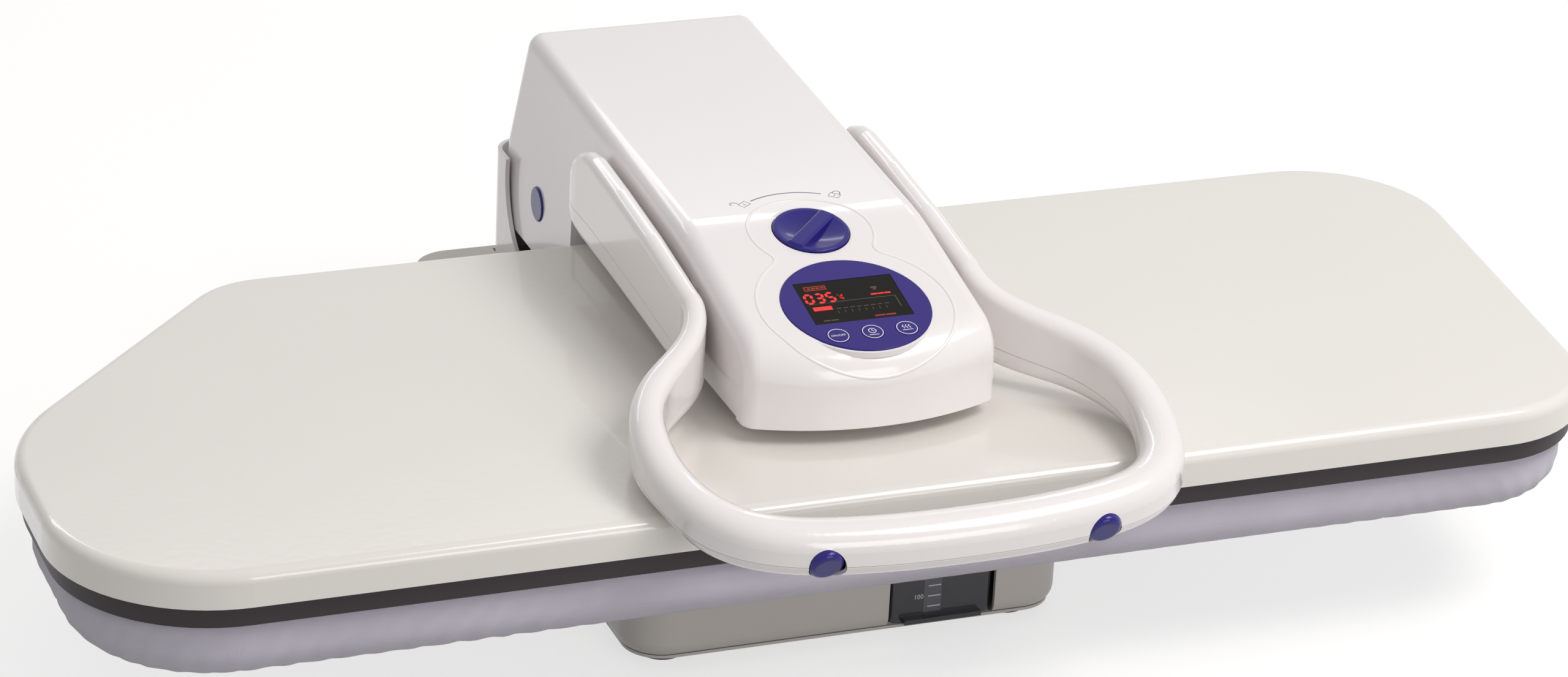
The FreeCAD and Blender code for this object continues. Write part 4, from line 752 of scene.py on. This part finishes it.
# A low moulded line runs round the knob and the display and down over the nose. It is two circles
# joined by small rounds, laid on the head's skin.
slope = math.radians(11.85)
display_middle = Vector((0.0, -0.131, 0.2239))
up_slope = Vector((0.0, math.cos(slope), math.sin(slope)))
off_slope = Vector((0.0, -math.sin(slope), math.cos(slope)))
knob_tilt = math.radians(10.5)
knob_middle = Vector((0.0, -0.052, 0.2406))
knob_up = Vector((0.0, math.cos(knob_tilt), math.sin(knob_tilt)))
knob_off = Vector((0.0, -math.sin(knob_tilt), math.cos(knob_tilt)))
ring_round_knob = 0.0400
ring_round_display = 0.0615
waist_round = 0.009
knob_ahead = (knob_middle - display_middle).length
nose_starts = 0.0331
nose_round = 0.026
line_radius = 0.0011
line_step = 0.0015
line_rise = 0.42
line_sink = 0.00005


def on_head(x, s):
    """The place and the outward direction on the head's skin, x across and s up from the display."""
    if s > -nose_starts:
        return display_middle + up_slope * s + Vector((x, 0, 0)), off_slope
    bend = (-s - nose_starts) / nose_round
    start = display_middle - up_slope * nose_starts
    centre = start - off_slope * nose_round
    out = off_slope * math.cos(bend) - up_slope * math.sin(bend)
    return centre + out * nose_round + Vector((x, 0, 0)), out


head_form = bmesh.new()
head_form.from_mesh(nodes["head_top_cover"].data)
head_skin = BVHTree.FromBMesh(head_form)
head_form.free()


def dropped(place, out, lift):
    """Moves a place along its outward direction onto the head's skin."""
    hit = head_skin.ray_cast(place + out * 0.012, -out, 0.03)[0]
    return (hit if hit is not None else place) + out * lift


def arc_points(centre, radius, start, end, step):
    count = max(2, math.ceil(abs(end - start) * radius / step))
    angles = [start + (end - start) * k / count for k in range(count)]
    return [(centre[0] + radius * math.cos(a), centre[1] + radius * math.sin(a)) for a in angles]


reach_knob = ring_round_knob + waist_round
reach_display = ring_round_display + waist_round
waist_s = (knob_ahead ** 2 + reach_display ** 2 - reach_knob ** 2) / (2 * knob_ahead)
waist_x = math.sqrt(reach_display ** 2 - waist_s ** 2)
at_display = math.atan2(waist_s, waist_x)
at_knob = math.atan2(waist_s - knob_ahead, waist_x)
relief_path = arc_points((0, knob_ahead), ring_round_knob, at_knob, math.pi - at_knob, line_step)
relief_path += arc_points((-waist_x, waist_s), waist_round, -at_knob, -at_display, line_step)
relief_path += arc_points((0, 0), ring_round_display, math.pi - at_display, math.tau + at_display,
                          line_step)
relief_path += arc_points((waist_x, waist_s), waist_round, math.pi + at_display, math.pi + at_knob,
                          line_step)
relief_points = [dropped(*on_head(x, s), 0.0) for x, s in relief_path]
relief_line = bpy.data.meshes.new("relief_line")
count = len(relief_points)
relief_line.from_pydata(relief_points, [(i, (i + 1) % count) for i in range(count)], [])

relief_tree = node_tree_with("moulded_line", ("Radius", "NodeSocketFloat"), ("Step", "NodeSocketFloat"),
                             ("Material", "NodeSocketMaterial"))
given = relief_tree.nodes.new("NodeGroupInput")
given.name = "given"
line = relief_tree.nodes.new("GeometryNodeMeshToCurve")
even = relief_tree.nodes.new("GeometryNodeResampleCurve")
even.mode = "LENGTH"
bead = added(relief_tree, "GeometryNodeCurvePrimitiveCircle", ("Resolution", 12))
sweep = relief_tree.nodes.new("GeometryNodeCurveToMesh")
soften = relief_tree.nodes.new("GeometryNodeSetShadeSmooth")
joined(relief_tree, given, "Geometry", line, "Mesh")
joined(relief_tree, line, "Curve", even, "Curve")
joined(relief_tree, given, "Step", even, "Length")
joined(relief_tree, given, "Radius", bead, "Radius")
joined(relief_tree, even, "Curve", sweep, "Curve")
joined(relief_tree, bead, "Curve", sweep, "Profile Curve")
joined(relief_tree, sweep, "Mesh", soften, "Geometry")
finish_tree(relief_tree, soften.outputs["Geometry"])
relief = made_by(relief_tree, relief_line, Radius=line_radius, Step=line_step, Material=gloss_white)
relief.name = "head_relief_line"
face_out(relief)
for vertex in relief.data.vertices:
    near, normal = head_skin.find_nearest(vertex.co)[:2]
    above = (vertex.co - near).dot(normal)
    vertex.co = near + (vertex.co - near - normal * above) + normal * (above * line_rise - line_sink)
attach(relief, "arm")

# Printed signs on the head: an open and a closed padlock, and the arc that the knob's bar sweeps
# between them. Each is a thin line of grey-violet ink.
arc_radius = 0.0503
arc_from = math.radians(62.0)
arc_to = math.radians(118.5)
ink_width = 0.00055
arc_width = 0.0009
ink_lift = 0.00004
sign_ink = moulded("sign_ink", (0.12, 0.11, 0.26), 0.4, mottle=0.2)


def knob_place(x, s):
    return knob_middle + knob_up * s + Vector((x, 0, 0)), knob_off


def printed(name, strokes, width, place_of, drop, material, thickness=0.00006):
    """Thin strokes of ink: each a run of points that is closed or open, laid on a surface."""
    points = []
    faces = []
    for stroke, closed in strokes:
        first = len(points)
        for i, (x, s) in enumerate(stroke):
            before = stroke[i - 1] if closed or i else stroke[i]
            after = stroke[(i + 1) % len(stroke)] if closed or i < len(stroke) - 1 else stroke[i]
            run = Vector((after[0] - before[0], after[1] - before[1])).normalized()
            for edge in (-0.5, 0.5):
                x1 = x - run.y * width * edge
                s1 = s + run.x * width * edge
                place, out = place_of(x1, s1)
                points.append(dropped(place, out, ink_lift) if drop else place + out * ink_lift)
        runs = len(stroke) if closed else len(stroke) - 1
        for i in range(runs):
            a = first + 2 * i
            b = first + 2 * ((i + 1) % len(stroke))
            faces.append((a, b, b + 1, a + 1))
    mesh = bpy.data.meshes.new(name)
    mesh.from_pydata(points, [], faces)
    mesh.materials.append(material)
    piece = bpy.data.objects.new(name, mesh)
    bpy.context.scene.collection.objects.link(piece)
    solid = piece.modifiers.new("ink", "SOLIDIFY")
    solid.thickness = thickness
    solid.offset = 0.0
    return piece


def turned(shape, centre, angle):
    """Points drawn round the origin, turned and set at a centre."""
    c, s = math.cos(angle), math.sin(angle)
    return [(centre[0] + x * c - y * s, centre[1] + x * s + y * c) for x, y in shape]


def padlock(centre, angle, open_by):
    """A padlock's body, its shackle and its keyhole, as strokes."""
    half, tall, loop = 0.0034, 0.0052, 0.0023
    body = [(-half, -tall / 2), (half, -tall / 2), (half, tall / 2), (-half, tall / 2)]
    arch = [(loop * math.cos(a), tall / 2 + 0.0016 + loop * math.sin(a))
            for a in [math.pi * k / 10 for k in range(11)]]
    legs = [(loop, tall / 2 + 0.0002), *arch, (-loop, tall / 2 + 0.0002)]
    if open_by:
        legs = [(x - open_by, y + 0.0008) for x, y in legs[:-1]]
    hole = [(0.0, 0.0009), (0.0, -0.0011)]
    return [(turned(body, centre, angle), True), (turned(legs, centre, angle), False),
            (turned(hole, centre, angle), False)]


open_at = (-0.0295, 0.0408)
closed_at = (0.0312, 0.0405)
sweep_arc = [(arc_radius * math.cos(a), arc_radius * math.sin(a))
             for a in [arc_from + (arc_to - arc_from) * k / 30 for k in range(31)]]
both_locks = padlock(open_at, math.radians(36.0), 0.0046) + padlock(closed_at, math.radians(-38.0), 0.0)
signs = printed("lock_signs", both_locks, ink_width, knob_place, True, sign_ink)
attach(signs, "arm")
sweep_sign = printed("lock_arc", [(sweep_arc, False)], arc_width, knob_place, True, sign_ink)
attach(sweep_sign, "arm")

# The display: an indigo disc set in the head, with a black window in it. The lit figures lie under
# the window's face. Some read brightly in red with the display's own light; the unlit ones are given
# a weak painted glow, so that they show faintly.
window_top = 0.0006
window_half = 0.0323
window_low = -0.0162
window_high = 0.0266
glass = moulded("window_glass", (0.006, 0.004, 0.003), 0.22, grain=0.00001, mottle=0.3, shine=0.12)
dress(glass, "lcd_panel")
disc_indigo = moulded("disc_indigo", (0.026, 0.013, 0.185), 0.36, grain=0.00002, mottle=0.03, shine=0.25)
dress(disc_indigo, "display_disc", "key_left", "key_mid", "key_right")


def on_disc(height):
    """Gives a function that places points on the display's own plane at a height above the seat."""
    def place(x, s):
        return display_middle + up_slope * s + Vector((x, 0, 0)) + off_slope * height, off_slope
    return place


def on_window(u, v):
    """A place on the window from its left and upper edges, each as a share from 0 to 1."""
    return -window_half + 2 * window_half * u, window_high - (window_high - window_low) * v


def filled(name, shapes, place_of, material, thickness=0.00008):
    """Flat outlines filled with ink, each a thin solid on its surface."""
    points = []
    faces = []
    for outline in shapes:
        first = len(points)
        for x, s in outline:
            place, out = place_of(x, s)
            points.append(place + out * thickness * 0.5)
        faces.append(tuple(range(first, first + len(outline))))
    mesh = bpy.data.meshes.new(name)
    mesh.from_pydata(points, [], faces)
    mesh.materials.append(material)
    piece = bpy.data.objects.new(name, mesh)
    bpy.context.scene.collection.objects.link(piece)
    solid = piece.modifiers.new("ink", "SOLIDIFY")
    solid.thickness = thickness
    solid.offset = 0.0
    return piece


def lit(name, colour, strength, body=0.02):
    """A glow through a mask, uneven in small patches; on unlit figures it is painted light."""
    material = bpy.data.materials.new(name)
    material.use_nodes = True
    tree = material.node_tree
    shader = tree.nodes["Principled BSDF"]
    shader.inputs["Base Color"].default_value = (*[c * body for c in colour], 1.0)
    shader.inputs["Roughness"].default_value = 0.3
    shader.inputs["Emission Color"].default_value = (*colour, 1.0)
    place = tree.nodes.new("ShaderNodeTexCoord")
    cloud = added(tree, "ShaderNodeTexNoise", ("Scale", 260.0))
    level = added(tree, "ShaderNodeMapRange", ("From Min", 0.3), ("From Max", 0.7),
                  ("To Min", strength * 0.75), ("To Max", strength * 1.1))
    joined(tree, place, "Object", cloud, "Vector")
    joined(tree, cloud, "Fac", level, "Value")
    joined(tree, level, "Result", shader, "Emission Strength")
    return material


def segment_shapes(figure, left, top, wide, tall):
    """The lit bars of one seven-bar figure, in shares of the window, with pointed ends."""
    bars = {"0": "abcdef", "3": "abcdg", "5": "acdfg", "C": "adef"}[figure]
    half_v = 0.021
    half_u = half_v * (window_high - window_low) / (2 * window_half)
    middle = top + tall / 2
    lying = {"a": top, "g": middle, "d": top + tall}
    standing = {"f": (left, top), "b": (left + wide, top), "e": (left, middle), "c": (left + wide, middle)}
    shapes = []
    for bar in bars:
        if bar in lying:
            v = lying[bar]
            u1, u2 = left + half_u * 0.35, left + wide - half_u * 0.35
            outline = [(u1, v), (u1 + half_u, v - half_v), (u2 - half_u, v - half_v), (u2, v),
                       (u2 - half_u, v + half_v), (u1 + half_u, v + half_v)]
        else:
            u, v1 = standing[bar]
            v1 = v1 + half_v * 0.35
            v2 = v1 + tall / 2 - half_v * 0.7
            outline = [(u, v1), (u + half_u, v1 + half_v), (u + half_u, v2 - half_v), (u, v2),
                       (u - half_u, v2 - half_v), (u - half_u, v1 + half_v)]
        shapes.append([on_window(u - 0.05 * (v - middle) * tall, v) for u, v in outline])
    return shapes


def bar_shape(u1, v1, u2, v2):
    return [on_window(u1, v2), on_window(u2, v2), on_window(u2, v1), on_window(u1, v1)]


def framed(u1, v1, u2, v2, edge):
    """A hollow bar, as four thin ones."""
    side = edge * (window_high - window_low) / (2 * window_half)
    return [bar_shape(u1, v1, u2, v1 + edge), bar_shape(u1, v2 - edge, u2, v2),
            bar_shape(u1, v1 + edge, u1 + side, v2 - edge), bar_shape(u2 - side, v1 + edge, u2, v2 - edge)]


bright_red = lit("bright_red", (0.86, 0.012, 0.008), 1.15)
# The faint ones are for unlit figures: their weak glow is painted light, in place of room light seen in
# them.
painted_glow_red = lit("painted_glow_red", (0.50, 0.012, 0.006), 0.75)
painted_glow_green = lit("painted_glow_green", (0.045, 0.060, 0.012), 0.9)
painted_glow_brown = lit("painted_glow_brown", (0.10, 0.045, 0.012), 0.8)
bright_shapes = [shape for figure, left in (("0", 0.045), ("3", 0.155), ("5", 0.265))
                 for shape in segment_shapes(figure, left, 0.285, 0.068, 0.205)]
bright_shapes += segment_shapes("C", 0.400, 0.365, 0.030, 0.080)
bright_shapes += [bar_shape(0.065, 0.590, 0.255, 0.680), bar_shape(0.700, 0.405, 0.765, 0.438),
                  bar_shape(0.772, 0.405, 0.830, 0.438), bar_shape(0.838, 0.405, 0.900, 0.438)]
figures = filled("window_figures", bright_shapes, on_disc(window_top), bright_red)
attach(figures, "arm")
degree = [on_window(0.377 + 0.008 * math.cos(a), 0.352 + 0.012 * math.sin(a))
          for a in [math.tau * k / 12 for k in range(12)]]
dim_shapes = [degree] + framed(0.085, 0.095, 0.305, 0.195, 0.016)
dim_shapes += [bar_shape(0.115 + 0.045 * k, 0.130, 0.150 + 0.045 * k, 0.160) for k in range(4)]
dim_shapes += [bar_shape(0.620, 0.915, 0.720, 0.945), bar_shape(0.730, 0.915, 0.830, 0.945)]
dim_figures = filled("window_labels", dim_shapes, on_disc(window_top), painted_glow_red)
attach(dim_figures, "arm")
ghost_shapes = [bar_shape(0.330, 0.500, 0.930, 0.512), bar_shape(0.921, 0.512, 0.930, 0.780),
                bar_shape(0.050, 0.512, 0.330, 0.520)]
ghost_shapes += [bar_shape(0.290 + 0.070 * k, 0.660, 0.335 + 0.070 * k, 0.676) for k in range(8)]
ghost_shapes += [bar_shape(0.290 + 0.070 * k, 0.720, 0.297 + 0.070 * k, 0.780) for k in range(8)]
ghosts = filled("window_ghosts", ghost_shapes, on_disc(window_top), painted_glow_green)
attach(ghosts, "arm")
tap_shapes = [bar_shape(0.735, 0.245, 0.795, 0.285), bar_shape(0.750, 0.295, 0.780, 0.325),
              bar_shape(0.100, 0.915, 0.170, 0.940), bar_shape(0.180, 0.915, 0.250, 0.940)]
brown_marks = filled("window_brown_marks", tap_shapes, on_disc(window_top), painted_glow_brown)
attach(brown_marks, "arm")

# The three keys are printed in white: a ring on each, plain words on the left one, and the signs for
# time and steam on the others.
key_top = 0.0011
key_row = -0.0292
key_pitch = 0.0224
key_ring = 0.0064
key_stroke = 0.0005
word_size = 0.0026
key_ink = moulded("key_ink", (0.78, 0.77, 0.82), 0.35, mottle=0.03)


def key_sign(name, middle, strokes, width, rider):
    """White strokes round the middle of one key."""
    moved = [([(middle + x, key_row + s) for x, s in stroke], closed) for stroke, closed in strokes]
    sign = printed(name, moved, width, on_disc(key_top), False, key_ink)
    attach(sign, rider)


def circle_of(radius, sides=40, x=0.0, s=0.0):
    angles = [math.tau * k / sides for k in range(sides)]
    return [(x + radius * math.cos(a), s + radius * math.sin(a)) for a in angles]


puff = [(0.0005 * math.sin(2.4 * math.pi * k / 10), -0.0004 + 0.0036 * k / 10) for k in range(11)]
time_strokes = [(circle_of(0.0023, 24, 0, 0.0010), True),
                ([(0, 0.0026), (0, 0.0010), (0.0011, 0.0004)], False),
                ([(-0.0032, -0.0030), (0.0032, -0.0030)], False)]
steam_strokes = [([(x - 0.0020, s) for x, s in puff], False), (puff, False),
                 ([(x + 0.0020, s) for x, s in puff], False),
                 ([(-0.0034, -0.0018), (0.0034, -0.0018)], False)]
for name, middle, strokes in (("key_left", -key_pitch, []), ("key_mid", 0.0, time_strokes),
                              ("key_right", key_pitch, steam_strokes)):
    key_sign(name + "_print", middle, [(circle_of(key_ring), True)] + strokes, key_stroke, name)
word_place = on_disc(key_top + ink_lift)(-key_pitch, key_row)[0]
key_words = lettering("key_left_words", "ON/OFF", word_size, word_place, (1, 0, 0), up_slope, 0.00006,
                      key_ink)
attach(key_words, "key_left")

# The handle: two glossy white ABS shells round a steel rod, with an indigo cap over the screw at each
# front corner.
handle_white = (0.850, 0.812, 0.802)
handle_gloss = moulded("handle_gloss", handle_white, 0.17, grain=0.00003, grain_scale=400.0, mottle=0.01,
                       coat=0.6)
dress(handle_gloss, "handle_upper_shell", "handle_lower_shell")
dress(gloss_indigo, "handle_caps")
